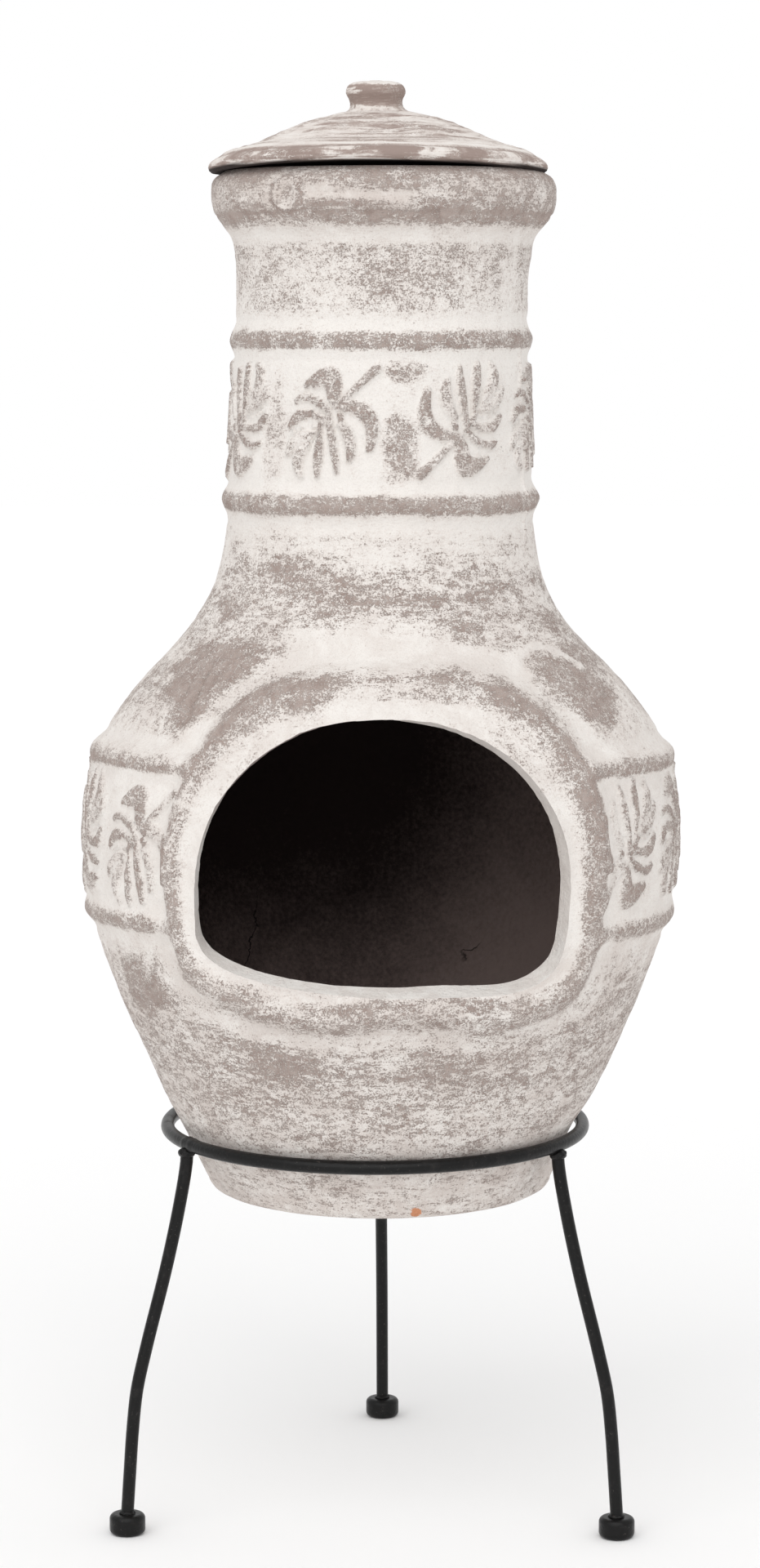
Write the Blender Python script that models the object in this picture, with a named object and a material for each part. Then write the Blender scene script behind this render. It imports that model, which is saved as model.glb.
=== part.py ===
"""Clay chiminea: a fired pot with a firebox mouth and a flue, a clay lid, and a three-legged bar stand.

Metres, +Z up, the pot's axis on Z, the floor at Z = 0, the firebox mouth facing -Y.
"""
import math

import bmesh
import bpy
from mathutils import Vector

# ---------------------------------------------------------------- driving dimensions
TOUCH_GAP = 0.0003

# The pot's plain outer wall as (height, radius), from the foot's corner to the rim's crest.
POT_WALL = (
    (0.2215, 0.1148), (0.2564, 0.1341), (0.3243, 0.1636), (0.3837, 0.1873), (0.4130, 0.1938),
    (0.4500, 0.1962), (0.4850, 0.1940), (0.5147, 0.1850), (0.5472, 0.1624), (0.5861, 0.1261),
    (0.6119, 0.1100), (0.6441, 0.1016), (0.6900, 0.0990), (0.7465, 0.0965), (0.7974, 0.0950),
    (0.8290, 0.0962), (0.8400, 0.0985), (0.8480, 0.1046), (0.8560, 0.1100), (0.8669, 0.1117),
    (0.8780, 0.1092), (0.8832, 0.1020),
)
POT_BASE_HEIGHT = 0.2145
POT_BASE_RADIUS = 0.1085
RIM_CREST_INNER_RADIUS = 0.0930
FLUE_RADIUS = 0.0830
WALL_THICKNESS = 0.0130
FLOOR_TOP = 0.2310
FLOOR_RADIUS = 0.0950
# Raised bands round the pot: (height, how far they stand out, half width).
POT_BANDS = ((0.4040, 0.0032, 0.0095), (0.5070, 0.0038, 0.0100),
             (0.6698, 0.0041, 0.0085), (0.7735, 0.0026, 0.0075))
POT_SEGMENTS = 40

# The firebox mouth: an arch above a flatter sill, seen from the front. The sill sags on the +X side.
MOUTH_HEIGHT = 0.431
MOUTH_SHIFT = 0.0016
MOUTH_HALF_WIDTH = 0.1153
MOUTH_ARCH_RISE = 0.1093
MOUTH_SILL_DROP = 0.0470
MOUTH_SILL_POWER = 5.3
SILL_SAG = 0.0125
SAG_START = 0.020
SAG_END = 0.100
ARCH_POWER = 2.1
MOUTH_FLARE = 0.35
MOUTH_INNER_DEPTH = 0.150
MOUTH_POINTS = 48
# The raised roll of clay round the mouth.
ROLL_HALF_WIDTH = 0.1310
ROLL_ARCH_RISE = 0.1330
ROLL_SILL_DROP = 0.0700
ROLL_SILL_POWER = 3.5
ROLL_BAR_RADIUS = 0.0095
ROLL_SINK = 0.0012

# The lid as (height, radius): up the outside, from the bearing face to the knob's top.
LID_BEARING_HEIGHT = 0.8835
LID_OUTSIDE = (
    (0.8835, 0.1030), (0.8848, 0.1075), (0.8866, 0.1101), (0.8890, 0.1099), (0.8925, 0.1060),
    (0.8975, 0.0930), (0.9060, 0.0690), (0.9160, 0.0410), (0.9203, 0.0254), (0.9244, 0.0185),
    (0.9265, 0.0170), (0.9300, 0.0183), (0.9330, 0.0193), (0.9365, 0.0184), (0.9390, 0.0150),
)
KNOB_TOP = 0.9410
KNOB_TOP_RADIUS = 0.0090
LID_LIP_OUTER_RADIUS = 0.0790
LID_LIP_INNER_RADIUS = 0.0690
LID_LIP_DEPTH = 0.0100
LID_HOLLOW = ((0.8850, 0.0670), (0.8920, 0.0560), (0.8990, 0.0360), (0.9020, 0.0150))
LID_SEGMENTS = 36

# The stand: one bar ring on three bent legs, each on a puck foot.
RING_RADIUS = 0.1384
RING_HEIGHT = 0.2543
RING_BAR_RADIUS = 0.0045
LEG_BAR_RADIUS = 0.0040
STAND_TURN = math.radians(-1.5)
LEG_NAMES = ("front_left", "front_right", "rear")
LEG_ANGLES = tuple(math.radians(angle) + STAND_TURN for angle in (210.0, 330.0, 90.0))
FOOT_RADIUS = 0.0117
FOOT_HEIGHT = 0.0135
FOOT_EDGE = 0.0030
# A leg's centre line as (distance from the axis, height), from the foot's top up to the ring.
LEG_ROUTE = (
    (0.1844, FOOT_HEIGHT + TOUCH_GAP), (0.1823, 0.0414), (0.1801, 0.0685), (0.1767, 0.0953),
    (0.1700, 0.1218), (0.1549, 0.1744), (0.1446, 0.2168), (0.1398, 0.2430),
    (0.1394, RING_HEIGHT - RING_BAR_RADIUS - TOUCH_GAP),
)
TOP_WELD_RADIUS = 0.0078
TOP_WELD_DROP = 0.0072
FOOT_WELD_RADIUS = 0.0066
FOOT_WELD_HEIGHT = 0.0030

# colour, roughness, metallic
CLAY_COLOUR = (0.60, 0.56, 0.52, 1.0)
LID_COLOUR = (0.50, 0.46, 0.43, 1.0)
BLACK_PAINT = (0.016, 0.016, 0.018, 1.0)


# ---------------------------------------------------------------- helpers
def clear_scene():
    for thing in list(bpy.data.objects):
        bpy.data.objects.remove(thing, do_unlink=True)


def make_material(name, colour, roughness, metallic):
    material = bpy.data.materials.new(name)
    material.use_nodes = True
    shader = material.node_tree.nodes["Principled BSDF"]
    shader.inputs["Base Color"].default_value = colour
    shader.inputs["Roughness"].default_value = roughness
    shader.inputs["Metallic"].default_value = metallic
    material.diffuse_color = colour
    return material


def object_from_bmesh(name, shape, material=None):
    bmesh.ops.recalc_face_normals(shape, faces=shape.faces)
    mesh = bpy.data.meshes.new(name)
    shape.to_mesh(mesh)
    shape.free()
    thing = bpy.data.objects.new(name, mesh)
    bpy.context.scene.collection.objects.link(thing)
    if material:
        mesh.materials.append(material)
    return thing


def make_cutter(thing):
    thing.hide_render = True
    thing.display_type = "WIRE"
    return thing


def add_boolean(thing, operand, operation):
    modifier = thing.modifiers.new(operation.title(), "BOOLEAN")
    modifier.operation = operation
    modifier.solver = "EXACT"
    modifier.object = operand


def add_bevel(thing, width, segments):
    modifier = thing.modifiers.new("Bevel", "BEVEL")
    modifier.width = width
    modifier.segments = segments
    modifier.limit_method = "ANGLE"
    modifier.angle_limit = math.radians(40)


def smooth_value(points, position):
    """A smooth curve through (position, value) points; each end slope averages its neighbours'."""
    slopes = [(b[1] - a[1]) / (b[0] - a[0]) for a, b in zip(points, points[1:])]
    index = 0
    while index < len(slopes) - 1 and position > points[index + 1][0]:
        index += 1
    start, end = points[index], points[index + 1]
    span = end[0] - start[0]
    before = slopes[max(index - 1, 0)]
    after = slopes[min(index + 1, len(slopes) - 1)]
    start_slope = 0.5 * (before + slopes[index])
    end_slope = 0.5 * (after + slopes[index])
    t = min(max((position - start[0]) / span, 0.0), 1.0)
    return (start[1] * (2 * t ** 3 - 3 * t ** 2 + 1) + span * start_slope * (t ** 3 - 2 * t ** 2 + t)
            + end[1] * (3 * t ** 2 - 2 * t ** 3) + span * end_slope * (t ** 3 - t ** 2))


def turned_solid(name, profile, segments, material):
    """A solid of revolution: profile is (radius, height) from one pole to the other."""
    shape = bmesh.new()
    rings = []
    for radius, height in profile:
        if radius == 0.0:
            rings.append([shape.verts.new((0.0, 0.0, height))])
            continue
        angles = [2 * math.pi * step / segments for step in range(segments)]
        rings.append([shape.verts.new((radius * math.cos(a), radius * math.sin(a), height)) for a in angles])
    for lower, upper in zip(rings, rings[1:]):
        for step in range(segments):
            following = (step + 1) % segments
            corners = [lower[step % len(lower)], lower[following % len(lower)],
                       upper[following % len(upper)], upper[step % len(upper)]]
            shape.faces.new(list(dict.fromkeys(corners)))
    return object_from_bmesh(name, shape, material)


def bar_along(name, centres, side_directions, radius, sides, closed, material=None):
    """A round bar along centre points; an open bar ends in level faces."""
    shape = bmesh.new()
    count = len(centres)
    rings = []
    for index, (centre, side) in enumerate(zip(centres, side_directions)):
        ahead = centres[(index + 1) % count] if closed else centres[min(index + 1, count - 1)]
        behind = centres[index - 1] if closed else centres[max(index - 1, 0)]
        along = (ahead - behind).normalized()
        across = side.cross(along).normalized()
        other = along.cross(across).normalized()
        ring = []
        for step in range(sides):
            angle = 2 * math.pi * step / sides
            offset = radius * (math.cos(angle) * across + math.sin(angle) * other)
            if not closed and index in (0, count - 1):
                offset -= along * (offset.z / along.z)
            ring.append(shape.verts.new(centre + offset))
        rings.append(ring)
    pairs = list(zip(rings, rings[1:]))
    if closed:
        pairs.append((rings[-1], rings[0]))
    else:
        shape.faces.new(rings[0])
        shape.faces.new(rings[-1])
    for first, second in pairs:
        for step in range(sides):
            following = (step + 1) % sides
            shape.faces.new((first[step], first[following], second[following], second[step]))
    return object_from_bmesh(name, shape, material)


# ---------------------------------------------------------------- the pot
def plain_radius(height):
    return smooth_value(POT_WALL, height)


def outer_radius(height):
    bands = sum(rise * math.exp(-((height - middle) / (0.62 * half)) ** 2) for middle, rise, half in POT_BANDS)
    return plain_radius(height) + bands


def inner_radius(height):
    step = 0.002
    slope = (plain_radius(height + step) - plain_radius(height - step)) / (2 * step)
    return plain_radius(height) - WALL_THICKNESS * math.sqrt(1 + slope * slope)


def pot_heights():
    """Heights of the outer wall's rings: close together on the bands, wide apart on plain clay."""
    heights = [0.2215, 0.2564, 0.2900, 0.3240, 0.3600]
    heights += [0.4300, 0.4500, 0.4700, 0.5300, 0.5470, 0.5670, 0.5861, 0.5990, 0.6119, 0.6280, 0.6441]
    heights += [0.7000, 0.7300, 0.8000, 0.8300, 0.8400, 0.8450, 0.8500, 0.8560, 0.8650, 0.8730, 0.8800]
    for middle, _, half in POT_BANDS:
        heights += [middle - 1.4 * half, middle - 0.6 * half, middle, middle + 0.6 * half, middle + 1.4 * half]
    return sorted(heights)


def pot_profile():
    """(radius, height) from the middle of the base, up the outside, down the flue, to the floor."""
    base_edge = [(0.0, POT_BASE_HEIGHT), (POT_BASE_RADIUS, POT_BASE_HEIGHT), (0.1125, 0.2168)]
    outside = [(outer_radius(height), height) for height in pot_heights()]
    crest = POT_WALL[-1][0]
    rim = [(POT_WALL[-1][1], crest), (RIM_CREST_INNER_RADIUS, crest), (0.0870, 0.8800), (FLUE_RADIUS, 0.8720)]
    flue = [(FLUE_RADIUS, height) for height in (0.8000, 0.7200)]
    inside_heights = (0.6500, 0.6200, 0.5950, 0.5720, 0.5472, 0.5200, 0.4850, 0.4500, 0.4100,
                      0.3700, 0.3240, 0.2800, 0.2500)
    inside = [(min(inner_radius(height), inner_radius(0.45)), height) for height in inside_heights]
    floor = [(0.1120, 0.2390), (FLOOR_RADIUS, FLOOR_TOP), (0.0, FLOOR_TOP)]
    return base_edge + outside + rim + flue + inside + floor


def sill_sag(x):
    """How much lower the sill and the roll under it hang at x."""
    t = min(max((x - SAG_START) / (SAG_END - SAG_START), 0.0), 1.0)
    return SILL_SAG * t * t * (3 - 2 * t)


def arch_point(angle, half_width, rise, drop, sill_power):
    """A point (x, height) of an arch outline: an oval top over a squarer sill."""
    across, up = math.cos(angle), math.sin(angle)
    power = ARCH_POWER if up >= 0 else sill_power
    x = half_width * math.copysign(abs(across) ** (2 / power), across)
    reach = rise if up >= 0 else drop + sill_sag(x)
    return MOUTH_SHIFT + x, MOUTH_HEIGHT + reach * math.copysign(abs(up) ** (2 / power), up)


def mouth_cutter():
    """The mouth's hole: wider outside than inside, so the cut edge faces outwards."""
    shape = bmesh.new()
    ends = []
    for depth in (-0.060, -0.270):
        grow = MOUTH_FLARE * (-depth - MOUTH_INNER_DEPTH)
        outline = []
        for step in range(MOUTH_POINTS):
            angle = 2 * math.pi * (step + 0.5) / MOUTH_POINTS
            x, z = arch_point(angle, MOUTH_HALF_WIDTH + grow, MOUTH_ARCH_RISE + grow, MOUTH_SILL_DROP + grow,
                              MOUTH_SILL_POWER)
            outline.append(shape.verts.new((x, depth, z)))
        ends.append(outline)
    shape.faces.new(ends[0])
    shape.faces.new(ends[1])
    for step in range(MOUTH_POINTS):
        following = (step + 1) % MOUTH_POINTS
        shape.faces.new((ends[0][step], ends[0][following], ends[1][following], ends[1][step]))
    return make_cutter(object_from_bmesh("mouth_cutter", shape))


def mouth_roll():
    """The roll of clay round the mouth, half sunk in the wall."""
    centres = []
    for step in range(MOUTH_POINTS):
        angle = 2 * math.pi * (step + 0.25) / MOUTH_POINTS
        x, z = arch_point(angle, ROLL_HALF_WIDTH, ROLL_ARCH_RISE, ROLL_SILL_DROP, ROLL_SILL_POWER)
        wall = plain_radius(z) - ROLL_SINK
        centres.append(Vector((x, -math.sqrt(wall * wall - x * x), z)))
    sides = [Vector((0, 1, 0))] * MOUTH_POINTS
    return make_cutter(bar_along("mouth_roll", centres, sides, ROLL_BAR_RADIUS, 8, closed=True))


def build_pot(material):
    pot = turned_solid("clay_pot", pot_profile(), POT_SEGMENTS, material)
    add_boolean(pot, mouth_roll(), "UNION")
    add_boolean(pot, mouth_cutter(), "DIFFERENCE")
    return pot


# ---------------------------------------------------------------- the lid
def build_lid(material):
    lip_bottom = LID_BEARING_HEIGHT - LID_LIP_DEPTH
    hollow = [(radius, height) for height, radius in reversed(LID_HOLLOW)]
    lip = [(LID_LIP_INNER_RADIUS, lip_bottom + 0.001), (LID_LIP_INNER_RADIUS + 0.0012, lip_bottom),
           (LID_LIP_OUTER_RADIUS - 0.0012, lip_bottom), (LID_LIP_OUTER_RADIUS, lip_bottom + 0.001),
           (LID_LIP_OUTER_RADIUS + 0.001, LID_BEARING_HEIGHT)]
    outside = [(radius, height) for height, radius in LID_OUTSIDE]
    knob = [(KNOB_TOP_RADIUS, KNOB_TOP), (0.0, KNOB_TOP)]
    profile = [(0.0, LID_HOLLOW[-1][0])] + hollow + lip + outside + knob
    return turned_solid("lid", profile, LID_SEGMENTS, material)


# ---------------------------------------------------------------- the stand
def around(angle, distance, height):
    return Vector((distance * math.cos(angle), distance * math.sin(angle), height))


def ring_bar(name, bar_radius, material=None):
    angles = [2 * math.pi * step / POT_SEGMENTS for step in range(POT_SEGMENTS)]
    centres = [around(angle, RING_RADIUS, RING_HEIGHT) for angle in angles]
    sides = [Vector((0, 0, 1))] * POT_SEGMENTS
    return bar_along(name, centres, sides, bar_radius, 10, closed=True, material=material)


def leg_bar(name, angle, bar_radius, material=None, grow=0.0):
    """A leg; grow lengthens it at the top and thickens it, for a cutter that clears the leg."""
    centres = [around(angle, distance, height) for distance, height in LEG_ROUTE]
    centres[-1].z += grow
    side = Vector((-math.sin(angle), math.cos(angle), 0.0))
    radius = bar_radius + grow
    return bar_along(name, centres, [side] * len(centres), radius, 12, closed=False, material=material)


def build_foot(name, angle, material):
    shape = bmesh.new()
    bmesh.ops.create_cone(shape, cap_ends=True, segments=24, radius1=FOOT_RADIUS, radius2=FOOT_RADIUS,
                          depth=FOOT_HEIGHT)
    foot = object_from_bmesh(name, shape, material)
    foot.location = around(angle, LEG_ROUTE[0][0], FOOT_HEIGHT / 2)
    add_bevel(foot, FOOT_EDGE, 2)


def build_foot_weld(name, angle, material):
    """A bead of weld round the leg where it stands on its foot."""
    inner = LEG_BAR_RADIUS + TOUCH_GAP
    bottom = FOOT_HEIGHT + TOUCH_GAP
    profile = ((inner, bottom), (FOOT_WELD_RADIUS, bottom), (FOOT_WELD_RADIUS - 0.0006, bottom + 0.0015),
               (inner + 0.0006, bottom + FOOT_WELD_HEIGHT), (inner, bottom + FOOT_WELD_HEIGHT))
    closed_profile = profile + profile[:1]
    bead = turned_solid(name, closed_profile, 16, material)
    weld_seam(bead)
    bead.location = around(angle, LEG_ROUTE[0][0], 0.0)


def weld_seam(thing):
    """Joins the first and last rings of a turned loop into one."""
    shape = bmesh.new()
    shape.from_mesh(thing.data)
    bmesh.ops.remove_doubles(shape, verts=shape.verts, dist=0.00001)
    bmesh.ops.recalc_face_normals(shape, faces=shape.faces)
    shape.to_mesh(thing.data)
    shape.free()


def build_top_weld(name, angle, ring_cutter, material):
    """A bead of weld round the leg's end, hollowed to sit under the ring."""
    shape = bmesh.new()
    bmesh.ops.create_uvsphere(shape, u_segments=16, v_segments=8, radius=TOP_WELD_RADIUS)
    bead = object_from_bmesh(name, shape, material)
    bead.location = around(angle, LEG_ROUTE[-1][0], RING_HEIGHT - TOP_WELD_DROP)
    add_boolean(bead, ring_cutter, "DIFFERENCE")
    leg_hole = make_cutter(leg_bar(name + "_hole", angle, LEG_BAR_RADIUS, grow=TOUCH_GAP))
    add_boolean(bead, leg_hole, "DIFFERENCE")


def build_stand(material):
    ring_bar("support_ring", RING_BAR_RADIUS, material)
    ring_cutter = make_cutter(ring_bar("ring_cutter", RING_BAR_RADIUS + TOUCH_GAP))
    for place, angle in zip(LEG_NAMES, LEG_ANGLES):
        leg_bar("leg_" + place, angle, LEG_BAR_RADIUS, material)
        build_foot("foot_" + place, angle, material)
        build_foot_weld("foot_weld_" + place, angle, material)
        build_top_weld("ring_weld_" + place, angle, ring_cutter, material)


def main():
    clear_scene()
    build_pot(make_material("limewashed_clay", CLAY_COLOUR, 0.9, 0.0))
    build_lid(make_material("limewashed_lid_clay", LID_COLOUR, 0.9, 0.0))
    build_stand(make_material("black_paint", BLACK_PAINT, 0.45, 0.0))


main()
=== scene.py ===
"""Looks of the limewashed clay chiminea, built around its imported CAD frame.

Metres, +Z up, floor at Z = 0. Round the pot, a direction is its azimuth from the front:
0 faces -Y (the firebox mouth), positive turns towards +X.
"""

import math

import bmesh
import bpy
import numpy as np
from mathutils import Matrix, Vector


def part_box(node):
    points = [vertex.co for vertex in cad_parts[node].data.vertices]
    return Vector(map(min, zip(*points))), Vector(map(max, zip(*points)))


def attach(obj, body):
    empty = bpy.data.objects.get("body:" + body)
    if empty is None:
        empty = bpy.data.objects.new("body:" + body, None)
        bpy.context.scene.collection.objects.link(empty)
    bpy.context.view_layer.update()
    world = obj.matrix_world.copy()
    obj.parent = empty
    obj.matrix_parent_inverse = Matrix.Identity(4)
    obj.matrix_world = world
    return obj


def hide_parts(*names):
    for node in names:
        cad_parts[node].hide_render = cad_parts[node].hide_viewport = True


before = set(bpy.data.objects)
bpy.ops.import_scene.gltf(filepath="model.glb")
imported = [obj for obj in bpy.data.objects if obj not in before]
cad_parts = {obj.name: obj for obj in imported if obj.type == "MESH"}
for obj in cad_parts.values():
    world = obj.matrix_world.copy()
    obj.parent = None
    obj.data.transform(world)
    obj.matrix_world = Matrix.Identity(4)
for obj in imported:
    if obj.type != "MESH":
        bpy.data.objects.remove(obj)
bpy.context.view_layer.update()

POT_LOW, POT_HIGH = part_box("clay_pot")
LID_LOW, LID_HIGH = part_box("lid")
RING_LOW, RING_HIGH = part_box("support_ring")
MM = 0.001
NOISE_CELLS = 24

# ---------------------------------------------------------------- pot: sizes
BASE = POT_LOW.z
CREST = POT_HIGH.z
# The plain outer wall as (height above the base, radius).
POT_WALL = (
    (0.007, 0.1148), (0.0419, 0.134), (0.079, 0.15), (0.128, 0.1716), (0.1692, 0.1865), (0.1985, 0.1938),
    (0.2355, 0.1962), (0.2705, 0.1938), (0.3002, 0.185), (0.3327, 0.1624), (0.3716, 0.1261), (0.3974, 0.11),
    (0.4296, 0.1016), (0.4755, 0.099), (0.532, 0.0965), (0.5829, 0.095), (0.6145, 0.0962), (0.6262, 0.099),
    (0.6335, 0.1046), (0.6415, 0.11), (0.6524, 0.1117), (0.6635, 0.1092), (0.6687, 0.102),
)
# The underside and its corner as (height above the base, radius).
UNDERSIDE = (
    (0.0, 0.006), (0.0, 0.04), (0.0, 0.075), (0.0, 0.1), (0.0, 0.1085), (0.002, 0.1122), (0.0045, 0.1139),
)
# The rim's top as (height from the crest, radius).
RIM_TOP = ((0.0, 0.0995), (0.0, 0.0945), (-0.0012, 0.089), (-0.0055, 0.0845), (-0.0115, 0.083))
WALL = 0.013
FLUE_RADIUS = 0.083
FLOOR_THICKNESS = 0.0165
# Heights above the base of the flue's ends and of the chamber's, and the rounding down to its floor.
FLUE_TOP, FLUE_FOOT = 0.645, 0.46
CHAMBER = (0.44, 0.042)
WIDEST_INSIDE = 0.184
CHAMBER_FLOOR = (
    (0.016, 0.1145), (0.008, 0.1085), (0.002, 0.101), (0.0, 0.094), (0.0, 0.07), (0.0, 0.035), (0.0, 0.006),
)
# Raised bands: (height, how far they stand out, half width).
LOWER_BAND, UPPER_BAND = (0.1865, 0.0036, 0.009), (0.2855, 0.0042, 0.0092)
NECK_LOW_BAND, NECK_HIGH_BAND = (0.4562, 0.0042, 0.0096), (0.5603, 0.0032, 0.0089)
# The belly's bands run unevenly round it: (azimuth in degrees, change of height).
LOWER_RUN = (
    (-180, 0.0), (-130, 0.0), (-88, 0.002), (-65, 0.006), (-48, 0.008), (0, 0.004), (48, 0.0015),
    (88, -0.001), (130, 0.0), (180, 0.0),
)
UPPER_RUN = (
    (-180, 0.0075), (-130, 0.0075), (-88, 0.0085), (-60, 0.011), (-45, 0.011), (0, 0.009),
    (48, 0.0072), (88, 0.005), (130, 0.0065), (180, 0.0075),
)
# How far the hand-built pot leans to +X at each height.
LEAN = (
    (0.0, 0.0004), (0.08, 0.0004), (0.24, 0.0014), (0.38, 0.0014), (0.46, 0.0012), (0.59, 0.0026),
    (0.64, 0.0034), (0.669, 0.0034),
)
COLUMNS = 560
COLUMN_AZIMUTHS = np.arange(COLUMNS) * 2 * math.pi / COLUMNS
# Rows up the outer wall are this far apart, and the wider step serves these stretches of plain clay.
FINE_STEP, COARSE_STEP = 0.00165, 0.0024
PLAIN_CLAY = ((0.0, 0.165), (0.315, 0.44), (0.572, 0.605))
# How far down the rim's top dips at the front, and how the wall is held in where it passes through the ring.
FRONT_DIP, DIP_SPREAD = 0.0004, 0.95
RING_REACH, SIDE_SQUEEZE, RIGHT_SQUEEZE = 0.02, 0.0026, 0.0024

# The firebox mouth and the roll of clay round it.
MOUTH_HEIGHT = BASE + 0.2165
MOUTH_HALF_WIDTH = 0.1153
MOUTH_SHIFT = 0.0016
MOUTH_ARCH = 0.1093
MOUTH_SILL = 0.047
MOUTH_SILL_SAG = 0.0125
ARCH_POWER = 2.1
SILL_POWER = 5.3
# How much the cut flares outwards, by angle from +X in degrees.
MOUTH_FLARE = (
    (-180, 0.14), (-135, 0.26), (-90, 0.38), (-30, 0.44), (0, 0.5), (45, 0.32), (90, 0.16), (135, 0.12),
    (180, 0.14),
)
MOUTH_STEPS = 420
# The cut has its plain size at this depth, and the cutter's rings stand at these places along Y.
MOUTH_INNER_DEPTH = 0.15
MOUTH_CUTS = (-0.06, *np.linspace(-0.125, -0.215, 28), -0.27)

# The roll round the mouth: (angle from +X in degrees, how far its crest is from the cut, half width).
SURROUND = (
    (-15, 0.013, 0.012), (7, 0.0172, 0.014), (30, 0.025, 0.015), (60, 0.028, 0.0155), (90, 0.0212, 0.015),
    (120, 0.025, 0.015), (150, 0.0215, 0.011), (176, 0.0162, 0.0085), (203, 0.0125, 0.009),
    (231, 0.0262, 0.013), (270, 0.0235, 0.0155), (304, 0.0204, 0.0155), (328, 0.014, 0.011),
    (345, 0.013, 0.012),
)
ROLL_RISE, VALLEY_DEPTH = 0.0062, 0.001

# A leaf, in mm from its heart: lobes as (start, bend, tip, half width, wear), a stem, and gaps between them.
LEAF_LOBES = (
    ((0.6, 1), (7, 33), (-19, 12.5), 5.4, 0.47), ((-2, 4), (-1, 20), (-13, 12), 5.2, 0.47),
    ((-3, -4), (-18.5, 9.7), (-26.5, 2.3), 4.0, 0.47), ((-5, -8), (-21.5, 1), (-30.5, -13.5), 5.4, 0.46),
    ((-10, -17), (-25, -14), (-31.5, -30), 6.6, 0.3), ((-13, -22), (-30, -32), (-21.5, -44), 6.0, 0.31),
    ((-7, -8), (-10, -24), (-10.2, -44.5), 5.2, 0.46), ((-3, -6), (0, -22), (3, -42), 4.2, 0.46),
    ((5, -12), (14, -21), (11, -34), 5.4, 0.3), ((3, 0), (31, 0), (23.5, -27), 6.8, 0.46),
    ((4, -5.5), (5, -7), (6, -8.5), 3.2, 0.6),
)
LEAF_STEM = ((4, 1), (14, 11), (27, 23), 2.1, 3.8, 0.46)
LEAF_GAPS = (
    ((-4, 2), (-12, 10), (-25, 8), 2.3), ((-6, -6), (-17, 2), (-31, -4), 2.0),
    ((-11, -16), (-20, -11), (-32, -22), 1.5), ((-10, -17), (-17, -27), (-16.5, -45), 2.0),
    ((-6, -13), (-5, -28), (-3.5, -46), 2.1), ((1, -11), (6, -25), (7, -42), 2.4),
    ((8, -6), (18, -14), (18, -33), 2.8),
)
LEAF_RISE, BELLY_LEAF_RISE = 0.0027, 0.0021
# Leaves by azimuth in degrees and turn in degrees.
NECK_LEAVES = ((-66, 180), (-19.5, 0), (33, 180), (77, 0), (122, 180), (167, 0), (-148, 180), (-107, 0))
NECK_LEAF_HEIGHT = BASE + 0.5093
BELLY_LEAF_HEIGHT = BASE + 0.243
BELLY_LEAF_SIZE = 1.12
BELLY_LEAF_FIRST = -52.0
BELLY_LEAF_COUNT = 12
BELLY_LEAF_STEP = -23.2

ROSETTE_AZIMUTH = -33.6
ROSETTE_HEIGHT = BASE + 0.6505
ROSETTE_SIZE = (0.0098, 0.0112)
RIM_GROOVE = 0.6395
# The mould's seam on the neck.
SEAM_AZIMUTH, SEAM_RISE = 67.0, 0.0018

# Wear by height above the base: 0 keeps the white wash, 1 shows the taupe clay.
WEAR_BY_HEIGHT = (
    (0.0, 0.38), (0.04, 0.38), (0.09, 0.5), (0.15, 0.44), (0.168, 0.32), (0.205, 0.18), (0.275, 0.18),
    (0.306, 0.28), (0.33, 0.46), (0.4, 0.42), (0.43, 0.3), (0.475, 0.16), (0.545, 0.16), (0.568, 0.12),
    (0.582, 0.36), (0.61, 0.42), (0.6195, 0.42), (0.6222, 0.22), (0.6285, 0.22), (0.632, 0.44),
    (0.638, 0.57), (0.656, 0.55), (0.669, 0.8),
)
# How far the bands of the belly and the neck are rubbed.
BELLY_BAND_WEAR, NECK_BAND_WEAR = 0.42, 0.48
# The same for the roll round the mouth, by angle from +X in degrees.
ROLL_WEAR = (
    (-180, 0.31), (-135, 0.31), (-90, 0.27), (-45, 0.37), (0, 0.49), (45, 0.41), (75, 0.25), (90, 0.13),
    (115, 0.27), (135, 0.33), (160, 0.29), (180, 0.31),
)
# How much whiter the roll's inner edge is, by the same angle.
MOUTH_WHITE = (
    (-210, 0.1), (-180, 0.26), (-135, 0.16), (-90, 0.12), (-45, 0.24), (-10, 0.34), (20, 0.22), (45, 0.2),
    (75, 0.24), (95, 0.24), (112, 0.08), (135, 0.0), (150, 0.1), (180, 0.26), (240, 0.14),
)
# How level the strokes of the wash run, by height above the base.
STREAK_BY_HEIGHT = (
    (0.0, 1.0), (0.15, 1.0), (0.185, 0.2), (0.3, 0.1), (0.34, 0.3), (0.39, 0.75), (0.43, 0.75), (0.47, 0.1),
    (0.56, 0.1), (0.6, 0.15), (0.63, 0.4), (0.669, 0.5),
)
# How calm (free of specks) the wash is, by height above the base.
CALM_BY_HEIGHT = (
    (0.0, 0.35), (0.03, 0.35), (0.045, 0.15), (0.15, 0.15), (0.19, 0.25), (0.3, 0.22), (0.345, 0.15),
    (0.42, 0.2), (0.44, 0.36), (0.618, 0.34), (0.626, 0.45), (0.669, 0.45),
)
# How strongly the wash varies from patch to patch, by height above the base.
PATCHY_BY_HEIGHT = (
    (0.0, 0.95), (0.14, 0.95), (0.19, 0.85), (0.3, 1.0), (0.33, 2.0), (0.42, 2.1), (0.445, 0.8),
    (0.57, 0.55), (0.615, 0.55), (0.63, 1.0), (0.669, 1.0),
)
# How thin and dull the wash has grown, by height above the base.
AGE_BY_HEIGHT = (
    (0.0, 1.0), (0.04, 1.0), (0.11, 0.85), (0.165, 0.7), (0.19, 0.45), (0.29, 0.45), (0.33, 0.55),
    (0.39, 0.45), (0.44, 0.25), (0.61, 0.2), (0.626, 0.35), (0.64, 0.9), (0.669, 1.0),
)
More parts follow.
